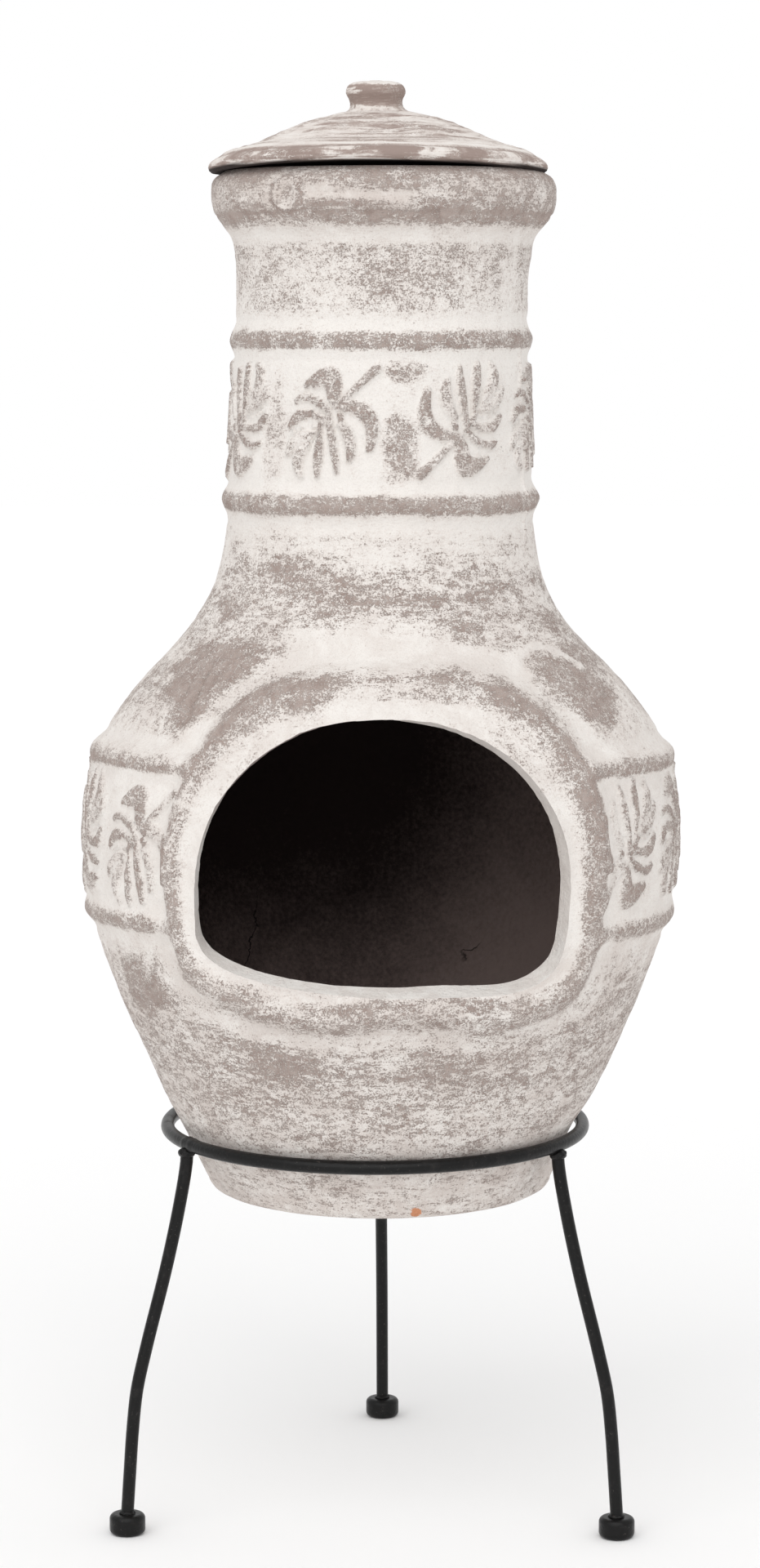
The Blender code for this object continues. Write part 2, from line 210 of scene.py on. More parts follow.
# The attributes of the finish that follow from the height alone.
POT_FINISH = (
    ("streak", STREAK_BY_HEIGHT), ("calm", CALM_BY_HEIGHT), ("patchy", PATCHY_BY_HEIGHT),
    ("age", AGE_BY_HEIGHT),
)
# The strokes round the mouth are this long for each radian they turn.
ROLL_STROKE = 0.03
# Listed patches: (azimuth in degrees, height above the base, half width, half height, change of wear).
WEAR_PATCHES = (
    (-44, 0.346, 0.062, 0.031, 0.42), (-30, 0.408, 0.034, 0.018, 0.22), (0, 0.368, 0.075, 0.018, -0.42),
    (53, 0.34, 0.044, 0.026, 0.28), (36, 0.345, 0.012, 0.022, -0.2), (38, 0.402, 0.034, 0.018, 0.2),
    (70, 0.366, 0.032, 0.026, 0.18), (-64, 0.404, 0.02, 0.03, 0.12), (-58, 0.15, 0.03, 0.02, 0.3),
    (-22, 0.11, 0.03, 0.016, 0.3), (20, 0.12, 0.05, 0.02, 0.12), (7, 0.492, 0.015, 0.024, 0.5),
    (9, 0.541, 0.016, 0.009, 0.45), (-44, 0.49, 0.012, 0.045, 0.3), (10, 0.592, 0.038, 0.024, 0.14),
    (-46, 0.59, 0.018, 0.024, 0.12), (-20, 0.59, 0.024, 0.007, -0.14), (58, 0.6, 0.012, 0.03, -0.18),
)

# Marks of the potter's hand, on the shoulder and just above the mouth. Each is an azimuth in degrees and a
# height above the base, then a curved stroke from start through bend to tip (along, up), its half widths and
# how far it stands out, all in mm, and its wear. The dark wear in the sunk creases is partly painted shade.
HAND_MARKS = (
    (50, 0.365, (-27, -6), (-2, 12), (34, -13), 2.4, 1.2, 0.9, -0.8),
    (-48, 0.339, (-3, 15), (1, 2), (7, -17), 1.2, 2.4, -2.4, 0.9),
    (-52, 0.339, (-3, 13), (0, 3), (3, -9), 0.9, 1.6, -1.6, 0.7),
    (-58, 0.32, (-12, 2), (0, 0), (16, -2), 2.0, 1.2, 0.5, -0.35),
    (1, 0.3402, (-4, 0), (0, -0.3), (5, 0.2), 1.1, 0.8, -1.5, 1.0),
)

# ---------------------------------------------------------------- lid: sizes
LID_BEARING = CREST + 0.0003
# (radius, height above the bearing) of the hollow, then of the bearing and the edge.
LID_HOLLOW = (
    (0.0, 0.0185), (0.015, 0.0185), (0.036, 0.0155), (0.052, 0.0105), (0.063, 0.0045), (0.068, -0.001),
)
LID_EDGE = (
    (0.0796, -0.001), (0.0805, -0.0001), (0.083, 0.0), (0.095, 0.0), (0.102, 0.0), (0.1055, 0.0004),
    (0.108, 0.0012), (0.1096, 0.0025), (0.1102, 0.0042), (0.11, 0.0058), (0.1091, 0.0074), (0.1075, 0.0087),
    (0.1052, 0.0096), (0.103, 0.0098), (0.1012, 0.0103),
)
# (radius, height above the lid's lowest point) of the lip that sits in the flue.
LID_LIP = (
    (0.069, 0.002), (0.0702, 0.0004), (0.0722, 0.0), (0.076, 0.0), (0.078, 0.0004), (0.079, 0.002),
)
# (radius, depth below the knob's top) of the slope and of the knob.
LID_SLOPE = (
    (0.02, 0.0197), (0.0254, 0.021), (0.0344, 0.0229), (0.048, 0.027), (0.0635, 0.0333), (0.0787, 0.0398),
    (0.0935, 0.044), (0.1, 0.0466),
)
LID_KNOB = (
    (0.0183, 0.0186), (0.0173, 0.017), (0.0169, 0.0148), (0.0171, 0.013), (0.0177, 0.0113),
    (0.0186, 0.0098), (0.0192, 0.0084), (0.0193, 0.007), (0.019, 0.0054), (0.0182, 0.0038),
    (0.0168, 0.0023), (0.0146, 0.0012), (0.011, 0.0004), (0.006, 0.0001), (0.0, 0.0),
)
LID_COLUMNS = 300
# How far the lid's edge stands up at the front and droops at the sides, and how far its knob is off centre.
LID_FRONT_RISE, LID_SIDE_DROOP, KNOB_SHIFT = 0.0023, 0.003, 0.0013

# ---------------------------------------------------------------- stand: sizes
RING_HEIGHT = 0.5 * (RING_LOW.z + RING_HIGH.z)
RING_BAR = 0.0045
RING_RADIUS = 0.5 * (RING_HIGH.x - RING_LOW.x) - RING_BAR
LEG_BAR = 0.0042
# The pot sits a little to one side of the stand's middle.
STAND_SHIFT = -0.0026
LEG_PLACES = ("front_left", "front_right", "rear")
LEG_ROUTE = (
    (0.1844, 0.0138), (0.1823, 0.0414), (0.1801, 0.0685), (0.1767, 0.0953), (0.17, 0.1218),
    (0.1549, 0.1744), (0.1446, 0.2168), (0.1398, 0.243), (0.1394, 0.2495),
)
FOOT_CORNER = 0.0034
# Half sizes of the weld beads.
RING_WELD, FOOT_WELD = (0.0066, 0.0066, 0.0042), (0.006, 0.006, 0.0026)
# How finely the bars and the feet are divided, along them and round them.
RING_STEPS, RING_COLUMNS = 288, 28
LEG_STEPS, LEG_COLUMNS = 70, 24
FOOT_COLUMNS = 72


# ---------------------------------------------------------------- numbers and noise
def curve(points, position):
    """A smooth curve through (position, value) points, for an array of positions."""
    x = np.array([p[0] for p in points], float)
    y = np.array([p[1] for p in points], float)
    position = np.clip(np.asarray(position, float), x[0], x[-1])
    slope = np.diff(y) / np.diff(x)
    tangent = np.empty_like(x)
    tangent[1:-1] = 0.5 * (slope[:-1] + slope[1:])
    tangent[0], tangent[-1] = slope[0], slope[-1]
    index = np.clip(np.searchsorted(x, position) - 1, 0, len(x) - 2)
    span = x[index + 1] - x[index]
    t = (position - x[index]) / span
    rise = 3 * t ** 2 - 2 * t ** 3
    return ((1 - rise) * y[index] + rise * y[index + 1]
            + span * tangent[index] * (t ** 3 - 2 * t ** 2 + t)
            + span * tangent[index + 1] * (t ** 3 - t ** 2))


def soft_noise(points, size, seed):
    """Smooth noise from -1 to 1 with lumps about size metres across; each seed gives its own pattern."""
    table = np.random.default_rng(seed).uniform(-1, 1, (NOISE_CELLS,) * 3)
    place = np.asarray(points) / size
    cell = np.floor(place).astype(int)
    part = place - cell
    part = part * part * (3 - 2 * part)
    total = 0.0
    for corner in np.ndindex(2, 2, 2):
        weight = np.prod(np.where(np.array(corner) == 1, part, 1 - part), axis=-1)
        index = (cell + np.array(corner)) % NOISE_CELLS
        total = total + weight * table[index[..., 0], index[..., 1], index[..., 2]]
    return total


def smooth_step(low, high, value):
    """0 below low, 1 above high, and a smooth rise between them."""
    t = np.clip((value - low) / (high - low), 0, 1)
    return t * t * (3 - 2 * t)


def between(value, rise, fall):
    """1 between two ranges, rising smoothly across the first and falling across the second."""
    return smooth_step(*rise, value) * (1 - smooth_step(*fall, value))


def bump(distance, half_width):
    """1 in the middle, falling smoothly to 0 at half_width."""
    return 1 - smooth_step(0.0, 1.0, np.abs(distance) / half_width)


def wrapped(angle):
    """The same direction as an angle from -pi to pi."""
    return (angle + math.pi) % (2 * math.pi) - math.pi


def along_wall(azimuth, radius, degrees):
    """How far round the wall a point lies from an azimuth given in degrees."""
    return radius * wrapped(azimuth - math.radians(degrees))


# ---------------------------------------------------------------- meshes
def linked(name, data):
    """A new object in the scene, showing its data: a mesh, a light or a camera."""
    thing = bpy.data.objects.new(name, data)
    bpy.context.scene.collection.objects.link(thing)
    return thing


def mesh_object(name, points, faces, materials):
    """A new object made of points and faces."""
    mesh = bpy.data.meshes.new(name)
    points = np.asarray(points, float).reshape(-1, 3)
    mesh.from_pydata(points, [], faces)
    mesh.update()
    for material in materials:
        mesh.materials.append(material)
    return linked(name, mesh)


def edited_object(name, shape, material):
    """A new object made from a bmesh, which is freed."""
    mesh = bpy.data.meshes.new(name)
    shape.to_mesh(mesh)
    shape.free()
    mesh.materials.append(material)
    return linked(name, mesh)


def grid_faces(rows, columns):
    """Quads of a grid of rows x columns points that closes round its columns."""
    row, column = np.meshgrid(np.arange(rows - 1), np.arange(columns), indexing="ij")
    following = (column + 1) % columns
    corners = [row * columns + column, row * columns + following,
               (row + 1) * columns + following, (row + 1) * columns + column]
    return np.stack(corners, axis=-1).reshape(-1, 4).tolist()


def capped_grid(rows, columns):
    """The same grid with a face across its first row and its last, which closes it."""
    faces = grid_faces(rows, columns)
    faces.append(list(range(columns))[::-1])
    faces.append(list(range((rows - 1) * columns, rows * columns)))
    return faces


def ring_points(radius, height, columns):
    """A level ring of points round the Z axis, starting at the front."""
    azimuth = np.arange(columns) * 2 * math.pi / columns
    return np.stack([radius * np.sin(azimuth), -radius * np.cos(azimuth), height + 0 * azimuth], axis=-1)


def turned(name, profile, columns, shape, material):
    """A closed turned body: profile is (radius, height) from the lower pole to the upper one."""
    rows = np.array([ring_points(radius, height, columns) for radius, height in profile[1:-1]])
    if shape:
        rows = shape(rows)
    points = rows.reshape(-1, 3)
    faces = grid_faces(len(rows), columns)
    poles = [(0, 0, profile[0][1]), (0, 0, profile[-1][1])]
    count = len(points)
    last = count - columns
    for column in range(columns):
        following = (column + 1) % columns
        faces.append([count, following, column])
        faces.append([count + 1, last + column, last + following])
    return mesh_object(name, np.vstack([points, poles]), faces, (material,))


def swept_bar(name, centres, radii, side, columns, closed, material):
    """A round bar along centres; side is a direction that the bar never runs along, one for each centre."""
    centres = np.asarray(centres, float)
    side = np.broadcast_to(np.asarray(side, float), centres.shape)
    if closed:
        along = np.roll(centres, -1, axis=0) - np.roll(centres, 1, axis=0)
    else:
        along = np.gradient(centres, axis=0)
    along /= np.linalg.norm(along, axis=1, keepdims=True)
    across = np.cross(side, along)
    across /= np.linalg.norm(across, axis=1, keepdims=True)
    other = np.cross(along, across)
    turn = np.arange(columns) * 2 * math.pi / columns
    radii = np.broadcast_to(np.asarray(radii, float), (len(centres),))
    offset = np.cos(turn)[None, :, None] * across[:, None] + np.sin(turn)[None, :, None] * other[:, None]
    points = centres[:, None] + radii[:, None, None] * offset
    rows = len(centres)
    if closed:
        faces = grid_faces(rows, columns)
        last = (rows - 1) * columns
        for column in range(columns):
            following = (column + 1) % columns
            faces.append([last + column, last + following, following, column])
    else:
        faces = capped_grid(rows, columns)
    return mesh_object(name, points, faces, (material,))


def finish_mesh(thing, sharp_degrees=50):
    """Faces outwards and smooth, with real corners kept sharp."""
    shape = bmesh.new()
    shape.from_mesh(thing.data)
    bmesh.ops.recalc_face_normals(shape, faces=shape.faces)
    shape.to_mesh(thing.data)
    shape.free()
    thing.data.polygons.foreach_set("use_smooth", [True] * len(thing.data.polygons))
    thing.data.set_sharp_from_angle(angle=math.radians(sharp_degrees))


def vertex_places(thing):
    """Where the vertices of an object are, as rows of x, y and z."""
    co = np.empty(len(thing.data.vertices) * 3)
    thing.data.vertices.foreach_get("co", co)
    return co.reshape(-1, 3)


def store(thing, name, values):
    """Keeps one number for each vertex, for the material to read."""
    attribute = thing.data.attributes.new(name, "FLOAT", "POINT")
    attribute.data.foreach_set("value", np.asarray(values, np.float32).ravel())


def place(thing, body, slot, node):
    """Ties a finished piece to its body and hides the CAD node that it replaces; slot is not used."""
    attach(thing, body)
    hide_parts(node)


# ---------------------------------------------------------------- pot: relief
def mouth_reach(across, up):
    """How far the mouth reaches above or below its middle: the hand-cut sill sags on the +X side."""
    sill = MOUTH_SILL + MOUTH_SILL_SAG * smooth_step(0.02, 0.1, across)
    return np.where(up >= 0, MOUTH_ARCH, sill)


def mouth_distance(across, height):
    """About how far a point seen from the front lies outside the mouth's edge (below 0 inside it)."""
    def level(x, z):
        up = z - MOUTH_HEIGHT
        reach = mouth_reach(x - MOUTH_SHIFT, up)
        power = np.where(up >= 0, ARCH_POWER, SILL_POWER)
        wide = np.abs(x - MOUTH_SHIFT) / MOUTH_HALF_WIDTH
        return (wide ** power + (np.abs(up) / reach) ** power) ** (1 / power)

    small = 0.0005
    here = level(across, height)
    slope_x = (level(across + small, height) - level(across - small, height)) / (2 * small)
    slope_z = (level(across, height + small) - level(across, height - small)) / (2 * small)
    return (here - 1) / np.maximum(np.hypot(slope_x, slope_z), 1.0)


def surround_relief(azimuth, height, radius):
    """The roll round the mouth: its relief, shape, wear and valley, and the share kept of the bands."""
    across = radius * np.sin(azimuth)
    distance = mouth_distance(across, height)
    front = np.cos(azimuth) > 0
    angle = np.degrees(np.arctan2(height - MOUTH_HEIGHT, across - MOUTH_SHIFT))
    angle = (angle - SURROUND[0][0]) % 360 + SURROUND[0][0]
    middle = curve([(a, crest) for a, crest, _ in SURROUND], angle)
    half = curve([(a, half) for a, _, half in SURROUND], angle)
    profile = bump(distance - middle, half)
    roll = ROLL_RISE * profile ** 0.75
    valley = np.where(front, bump(distance - middle - half - 0.004, 0.009), 0.0)
    keep_bands = np.where(front, smooth_step(middle + 0.002, middle + 0.009, distance), 1.0)
    rubbed = curve(ROLL_WEAR, np.degrees(wrapped(np.radians(angle))))
    above = between(angle, (15, 40), (140, 165))
    crease = bump(distance - middle - 0.3 * half, 0.0032)
    inner_edge = bump(distance - 0.002, 0.01)
    rubbed = rubbed + 0.3 * above * crease - curve(MOUTH_WHITE, angle) * inner_edge
    rubbed = np.where(front, rubbed, 0.0)
    profile = np.where(distance < middle, 1.0, profile)
    relief = np.where(front, roll, 0.0) - VALLEY_DEPTH * valley
    return relief, np.where(front, profile, 0.0), rubbed, valley * above, keep_bands


def stroke(u, v, start, bend, tip, half_start, half_tip=None):
    """How far inside a curved tapering stroke each point lies: 1 on its line, 0 at its edge and beyond."""
    steps = 9
    inside = np.zeros_like(u)
    start, bend, tip = (np.array(p, float) * MM for p in (start, bend, tip))
    for step in range(steps):
        t0, t1 = step / steps, (step + 1) / steps
        a = (1 - t0) ** 2 * start + 2 * t0 * (1 - t0) * bend + t0 ** 2 * tip
        b = (1 - t1) ** 2 * start + 2 * t1 * (1 - t1) * bend + t1 ** 2 * tip
        ab = b - a
        t = np.clip(((u - a[0]) * ab[0] + (v - a[1]) * ab[1]) / (ab @ ab), 0, 1)
        distance = np.hypot(u - a[0] - t * ab[0], v - a[1] - t * ab[1])
        whole = t0 + t * (t1 - t0)
        if half_tip is None:
            half = half_start * MM * (0.55 + 1.35 * whole - 1.45 * whole ** 2.2)
        else:
            half = MM * (half_start + (half_tip - half_start) * whole)
        inside = np.maximum(inside, 1 - (distance / half) ** 2)
    return inside


def leaf_relief(azimuth, height, radius, leaf_azimuth, leaf_height, size, turn, seed):
    """The raised shape of one leaf (0 to 1) and its wear, over the whole grid."""
    along = along_wall(azimuth, radius, leaf_azimuth)
    up = height - leaf_height
    near = (np.abs(along) < 0.055) & (np.abs(up) < 0.06)
    random = np.random.default_rng(seed)
    angle = math.radians(turn + random.uniform(-4, 4))
    size = size * (1.0 if turn < 90 else 1.05)
    shift = random.uniform(-1.0, 1.0, 2) * MM
    centre = np.array((0.002, 0.0107)) * (1 if turn < 90 else -1)
    u0 = (along[near] - shift[0]) / size - centre[0]
    v0 = (up[near] - shift[1]) / size - centre[1]
    u = math.cos(angle) * u0 + math.sin(angle) * v0
    v = -math.sin(angle) * u0 + math.cos(angle) * v0
    inside = stroke(u, v, *LEAF_STEM[:5])
    rubbed = np.full_like(inside, LEAF_STEM[5])
    for start, bend, tip, half, lobe_wear in LEAF_LOBES:
        lobe = stroke(u, v, start, bend, tip, half)
        rubbed = np.where(lobe > inside, lobe_wear, rubbed)
        inside = np.maximum(inside, lobe)
    for start, bend, tip, half in LEAF_GAPS:
        inside = inside * (1 - smooth_step(0.0, 0.5, stroke(u, v, start, bend, tip, half)))
    relief = np.zeros_like(along)
    wear = np.zeros_like(along)
    relief[near] = np.clip(inside, 0, 1)
    wear[near] = rubbed
    return relief, wear


def leaves_relief(azimuth, height, radius):
    """All the leaves of the neck and the belly: their raised shape (0 to 1) and their wear."""
    relief = np.zeros_like(height)
    wear = np.zeros_like(height)
    leaves = [(leaf_azimuth, NECK_LEAF_HEIGHT, 1.0, turn) for leaf_azimuth, turn in NECK_LEAVES]
    leaves += [(BELLY_LEAF_FIRST + BELLY_LEAF_STEP * number, BELLY_LEAF_HEIGHT, BELLY_LEAF_SIZE,
                180 * (number % 2)) for number in range(BELLY_LEAF_COUNT)]
    for seed, leaf_place in enumerate(leaves):
        leaf, leaf_wear = leaf_relief(azimuth, height, radius, *leaf_place, seed)
        leaf_wear = leaf_wear + (0.06 if leaf_place[2] > 1 else -0.02)
        wear = np.where(leaf > relief, leaf_wear, wear)
        relief = np.maximum(relief, leaf)
    return relief, wear


def rim_places(azimuth, height, radius):
    """Where a point of the rim's collar lies from the thumbed rosette: along, up, and in rosette radii."""
    along = along_wall(azimuth, radius, ROSETTE_AZIMUTH)
    up = height - ROSETTE_HEIGHT
    return along, up, np.hypot(along / ROSETTE_SIZE[0], up / ROSETTE_SIZE[1])


def rim_marks(azimuth, height, radius):
    """A thumbed rosette and wiped grooves on the rim's collar."""
    along, up, from_thumb = rim_places(azimuth, height, radius)
    rosette = -0.0014 * bump(from_thumb, 0.7) + 0.0014 * bump(from_thumb - 0.9, 0.35)
    past = between(along, (0.009, 0.018), (0.08, 0.13))
    swoosh = -0.0011 * past * bump(up - 0.004 * np.exp(-along / 0.03), 0.0035)
    swoosh += 0.0007 * past * bump(up + 0.006, 0.003)
    groove = -0.001 * bump(height - BASE - RIM_GROOVE, 0.002) * (0.6 + 0.4 * np.cos(azimuth - 0.3))
    return rosette + swoosh + groove


def rim_wear(azimuth, height, radius):
    """Change of wear on the collar: a white ring round the rosette, white wipes beside it, a dark groove,
    with painted shade in a crescent at the rosette's sides and just below the groove.
    """
    along, up, from_thumb = rim_places(azimuth, height, radius)
    change = 0.42 * bump(from_thumb, 0.55) - 0.38 * bump(from_thumb - 0.8, 0.22)
    # Painted shade: a darker crescent at the rosette's sides, outside its ring.
    change += 0.28 * bump(from_thumb - 1.2, 0.25) * (np.abs(up) < 0.008)
    wipe = bump(along - 0.026, 0.016) * bump(up - 0.0045 + 0.05 * (along - 0.026), 0.0036)
    line = between(along, (0.01, 0.02), (0.075, 0.095)) * bump(up + 0.0015 - 0.012 * along, 0.0026)
    wide = bump(along - 0.074, 0.022) * bump(up + 0.004, 0.009)
    change -= 0.42 * np.maximum(np.maximum(wipe, 0.6 * line), 0.7 * wide)
    # Darker in the groove, and painted shade just below it where the collar tucks in.
    below = bump(height - BASE - RIM_GROOVE + 0.0045, 0.006)
    return change + 0.55 * bump(height - BASE - RIM_GROOVE, 0.002) + 0.14 * below


def hand_marks(azimuth, height, radius):
    """The relief of the potter's marks, and how they change the wear, which in the sunk creases is partly
    painted shade.
    """
    relief = np.zeros_like(height)
    change = np.zeros_like(height)
    for mark_azimuth, mark_height, start, bend, tip, half_start, half_tip, rise, wear in HAND_MARKS:
        along = along_wall(azimuth, radius, mark_azimuth)
        up = height - BASE - mark_height
        inside = np.clip(stroke(along, up, start, bend, tip, half_start, half_tip), 0, 1)
        relief += rise * MM * inside
        # In the sunk creases the added wear darkens them, partly painted shade.
        change += wear * smooth_step(0.0, 0.4, inside)
    return relief, change


def pot_relief(azimuth, height, radius, points):
    """How far the outer wall stands off its plain shape, where (0 to 1) it is raised work, its wear there,
    with painted shade on the bands' lower sides, and the valley above the roll."""
    surround, profile, rubbed, valley, keep_bands = surround_relief(azimuth, height, radius)
    bands = np.zeros_like(height)
    degrees = np.degrees(wrapped(azimuth))
    sway = 0.0009 * soft_noise(points, 0.09, 11)
    raised = smooth_step(0.3, 0.66, profile + 0.2 * soft_noise(points, 0.012, 13))
    runs = (curve(LOWER_RUN, degrees), curve(UPPER_RUN, degrees), 0.0, 0.0)
    for (middle, rise, half), run in zip((LOWER_BAND, UPPER_BAND, NECK_LOW_BAND, NECK_HIGH_BAND), runs):
        on_belly = middle < NECK_LOW_BAND[0]
        share = keep_bands if on_belly else 1.0
        uneven = 1 + 0.14 * soft_noise(points, 0.035, 12)
        place_on_band = height - BASE - middle - run + sway
        profile = share * bump(place_on_band, half * 1.15)
        bands += uneven * rise * profile ** 0.8
        on_band = smooth_step(0.26, 0.42, profile + 0.12 * soft_noise(points, 0.01, 14))
        band_wear = BELLY_BAND_WEAR if on_belly else NECK_BAND_WEAR
        # Painted shade: each band darkens below its middle and lightens above it, most on the upper belly
        # band.
        shade_below_band = np.clip(-place_on_band / half, -1, 1)
        band_wear = band_wear + (0.45 if middle == UPPER_BAND[0] else 0.12) * shade_below_band
        rubbed = np.where(on_band > raised, band_wear, rubbed)
        raised = np.maximum(raised, on_band)
        for edge in (-1, 1):
            bands -= share * 0.0005 * bump(place_on_band - edge * half * 1.5, 0.004)
    leaves, leaf_wear = leaves_relief(azimuth, height, radius)
    on_leaf = smooth_step(0.06, 0.26, leaves + 0.05 * soft_noise(points, 0.005, 15))
    rubbed = np.where(on_leaf > raised, leaf_wear, rubbed)
    raised = np.maximum(raised, on_leaf)
    seam = SEAM_RISE * bump(along_wall(azimuth, radius, SEAM_AZIMUTH), 0.003)
    seam = seam * between(height - BASE, (0.42, 0.45), (0.545, 0.56))
    lumps = 0.0009 * soft_noise(points, 0.06, 21) + 0.00035 * soft_noise(points, 0.018, 22)
    grain = 0.00016 * soft_noise(points, 0.006, 23)
    turning = 0.00018 * soft_noise(points * np.array((0.2, 0.2, 1.0)), 0.004, 24)
    leaf_rise = np.where(height < BASE + 0.4, BELLY_LEAF_RISE, LEAF_RISE) * smooth_step(0.0, 0.8, leaves)
    relief = surround + bands + leaf_rise + seam + lumps + grain + turning
    return relief + rim_marks(azimuth, height, radius), raised, rubbed, valley


def wall_heights():
    """Row heights up the outer wall: close where there is relief, wider on plain clay."""
    heights = [POT_WALL[0][0]]
    top = POT_WALL[-1][0]
    while heights[-1] < top:
        here = heights[-1]
        radius_now, radius_next = curve(POT_WALL, [here, here + 0.002])
        steepness = math.hypot(0.002, radius_next - radius_now) / 0.002
        plain = any(low < here < high for low, high in PLAIN_CLAY)
        heights.append(here + (COARSE_STEP if plain else FINE_STEP) / steepness)
    heights[-1] = top
    return np.array(heights)


def blurred(field, rows, columns):
    """A box blur of a grid that closes round its columns."""
    for axis, reach in ((0, rows), (1, columns)):
        width = 2 * reach + 1
        mode = "edge" if axis == 0 else "wrap"
        pad = [(reach, reach) if a == axis else (0, 0) for a in (0, 1)]
        sums = np.cumsum(np.pad(field, pad, mode=mode), axis=axis)
        sums = np.insert(sums, 0, 0.0, axis=axis)
        upper = np.take(sums, range(width, sums.shape[axis]), axis=axis)
        lower = np.take(sums, range(0, sums.shape[axis] - width), axis=axis)
        field = (upper - lower) / width
    return field


def settle(azimuth):
    """How the rim's top dips at the front, as a change of height."""
    return -FRONT_DIP * np.exp(-(wrapped(azimuth) / DIP_SPREAD) ** 2)


def pot_outside():
    """The outer wall's points, their wear, and the rows' heights above the base."""
    above = wall_heights()
    height, azimuth = np.meshgrid(BASE + above, COLUMN_AZIMUTHS, indexing="ij")
    radius = curve(POT_WALL, height - BASE)
    slope = (curve(POT_WALL, height - BASE + 0.001) - curve(POT_WALL, height - BASE - 0.001)) / 0.002
    slope = np.clip(slope, -1.6, 1.6)
    normal_out = 1 / np.hypot(1, slope)
    normal_up = -slope * normal_out
    points = np.stack([radius * np.sin(azimuth), -radius * np.cos(azimuth), height], axis=-1)
    relief, raised, rubbed, valley = pot_relief(azimuth, height, radius, points)
    marks, mark_wear_and_shade = hand_marks(azimuth, height, radius)
    relief = relief + marks
    wear = wear_map(azimuth, height, radius, points, relief, raised, rubbed, mark_wear_and_shade)
    wear = wear - 0.3 * valley * (1 - raised)
    ease = smooth_step(0.0, 0.012, height - BASE - 0.004) * (1 - smooth_step(CREST - 0.006, CREST, height))
    relief = relief * (0.15 + 0.85 * ease)
    near_ring = np.exp(-((height - RING_HEIGHT) / RING_REACH) ** 2)
    squeeze = SIDE_SQUEEZE * np.sin(azimuth) ** 4 + RIGHT_SQUEEZE * np.clip(np.sin(azimuth), 0, 1)
    relief = relief * (1 - 0.9 * near_ring) - near_ring * squeeze
    out = radius + relief * normal_out
    up = height + relief * normal_up * ease + settle(azimuth) * smooth_step(CREST - 0.008, CREST, height)
    lean = curve(LEAN, height - BASE)
    points = np.stack([out * np.sin(azimuth) + lean, -out * np.cos(azimuth), up], axis=-1)
    return points, wear, above


def wear_map(azimuth, height, radius, points, relief, raised, rubbed, mark_wear_and_shade):
    """Where the wash is rubbed off: on raised work, on what stands proud, and in listed patches; the same
    numbers also carry painted shade in the sunk creases, under the bands and round the collar.
    """
    wear = curve(WEAR_BY_HEIGHT, height - BASE)
    ragged = 0.22 * soft_noise(points, 0.022, 81) + 0.16 * soft_noise(points, 0.009, 82)
    for patch_azimuth, patch_height, half_width, half_height, change in WEAR_PATCHES:
        along = along_wall(azimuth, radius, patch_azimuth) / half_width
        up = (height - BASE - patch_height) / half_height
        wear = wear + change * (1 - smooth_step(0.55, 1.15, np.hypot(along, up) + ragged))
    above_collar = smooth_step(0.61, 0.63, height - BASE)
    raised = raised * (1 - above_collar)
    wear = wear + raised * (rubbed - wear)
    proud = relief - blurred(relief, 6, 6)
    proud_wide = relief - blurred(relief, 14, 12)
    wear = wear + 0.12 * np.clip(proud / 0.001, -1, 1) + 0.14 * np.clip(proud_wide / 0.0022, -1, 1)
    wear = wear + mark_wear_and_shade + above_collar * rim_wear(azimuth, height, radius)
    return np.clip(wear, -0.2, 0.95)


def pot_inside():
    """The inner wall, as rings in order down the flue to the middle of the floor."""
    above, outer = np.array(POT_WALL).T
    slope = np.gradient(outer, above)
    inner = [(h, r - WALL * math.hypot(1, s)) for h, r, s in zip(above, outer, slope)]
    rings = [(BASE + h, FLUE_RADIUS) for h in np.linspace(FLUE_TOP, FLUE_FOOT, 12)]
    rings += [(BASE + h, min(float(curve(inner, h)), WIDEST_INSIDE)) for h in np.linspace(*CHAMBER, 34)]
    rings += [(BASE + FLOOR_THICKNESS + up, radius) for up, radius in CHAMBER_FLOOR]
    points = []
    for height, radius in rings:
        ring = ring_points(radius, height, COLUMNS)
        wobble = 0.0012 * soft_noise(ring, 0.05, 31) + 0.0004 * soft_noise(ring, 0.015, 32)
        scale = 1 + wobble / max(radius, 0.02)
        ring[:, :2] *= scale[:, None]
        ring[:, 0] += curve(LEAN, height - BASE)
        points.append(ring)
    return np.array(points)


def pot_rim():
    """The top of the rim, as rings from the collar in to the flue."""
    rings = []
    for drop, radius in RIM_TOP:
        ring = ring_points(radius, CREST + drop, COLUMNS)
        ring[:, 2] += settle(COLUMN_AZIMUTHS) + 0.0002 * soft_noise(ring, 0.02, 33)
        ring[:, 0] += LEAN[-1][1]
        rings.append(ring)
    return np.array(rings)


def pot_underside():
    """The base's underside and its corner, as rings from the middle out."""
    rings = []
    for height, radius in UNDERSIDE:
        ring = ring_points(radius, BASE + height, COLUMNS)
        ring[:, :2] *= 1 + 0.003 * soft_noise(ring, 0.03, 34)[:, None]
        ring[:, 2] += np.clip(0.0003 * soft_noise(ring, 0.02, 35), 0, 1)
        ring[:, 0] += curve(LEAN, 0.0)
        rings.append(ring)
    return np.array(rings)


def build_pot(outside_material, inside_material, cut_material):
    """The whole pot: one closed skin, with the mouth cut through it."""
    outside, wear, above = pot_outside()
    outer_rows = np.concatenate([pot_underside(), outside, pot_rim()])
    rows = np.concatenate([outer_rows, pot_inside()])
    faces = capped_grid(len(rows), COLUMNS)
    pot = mesh_object("clay_pot_looks", rows, faces, (outside_material, inside_material, cut_material))
    # The sooted inside starts on the rim's last strip. The last two faces close the underside and the floor.
    slots = np.zeros(len(faces), np.int32)
    slots[(len(outer_rows) - 2) * COLUMNS:-2] = 1
    slots[-1] = 1
    pot.data.polygons.foreach_set("material_index", slots)
    cut_mouth(pot, cut_material)
    finish_mesh(pot)
    paint_wear(pot, wear, above)
    place(pot, "pot", "limewashed_clay", "clay_pot")


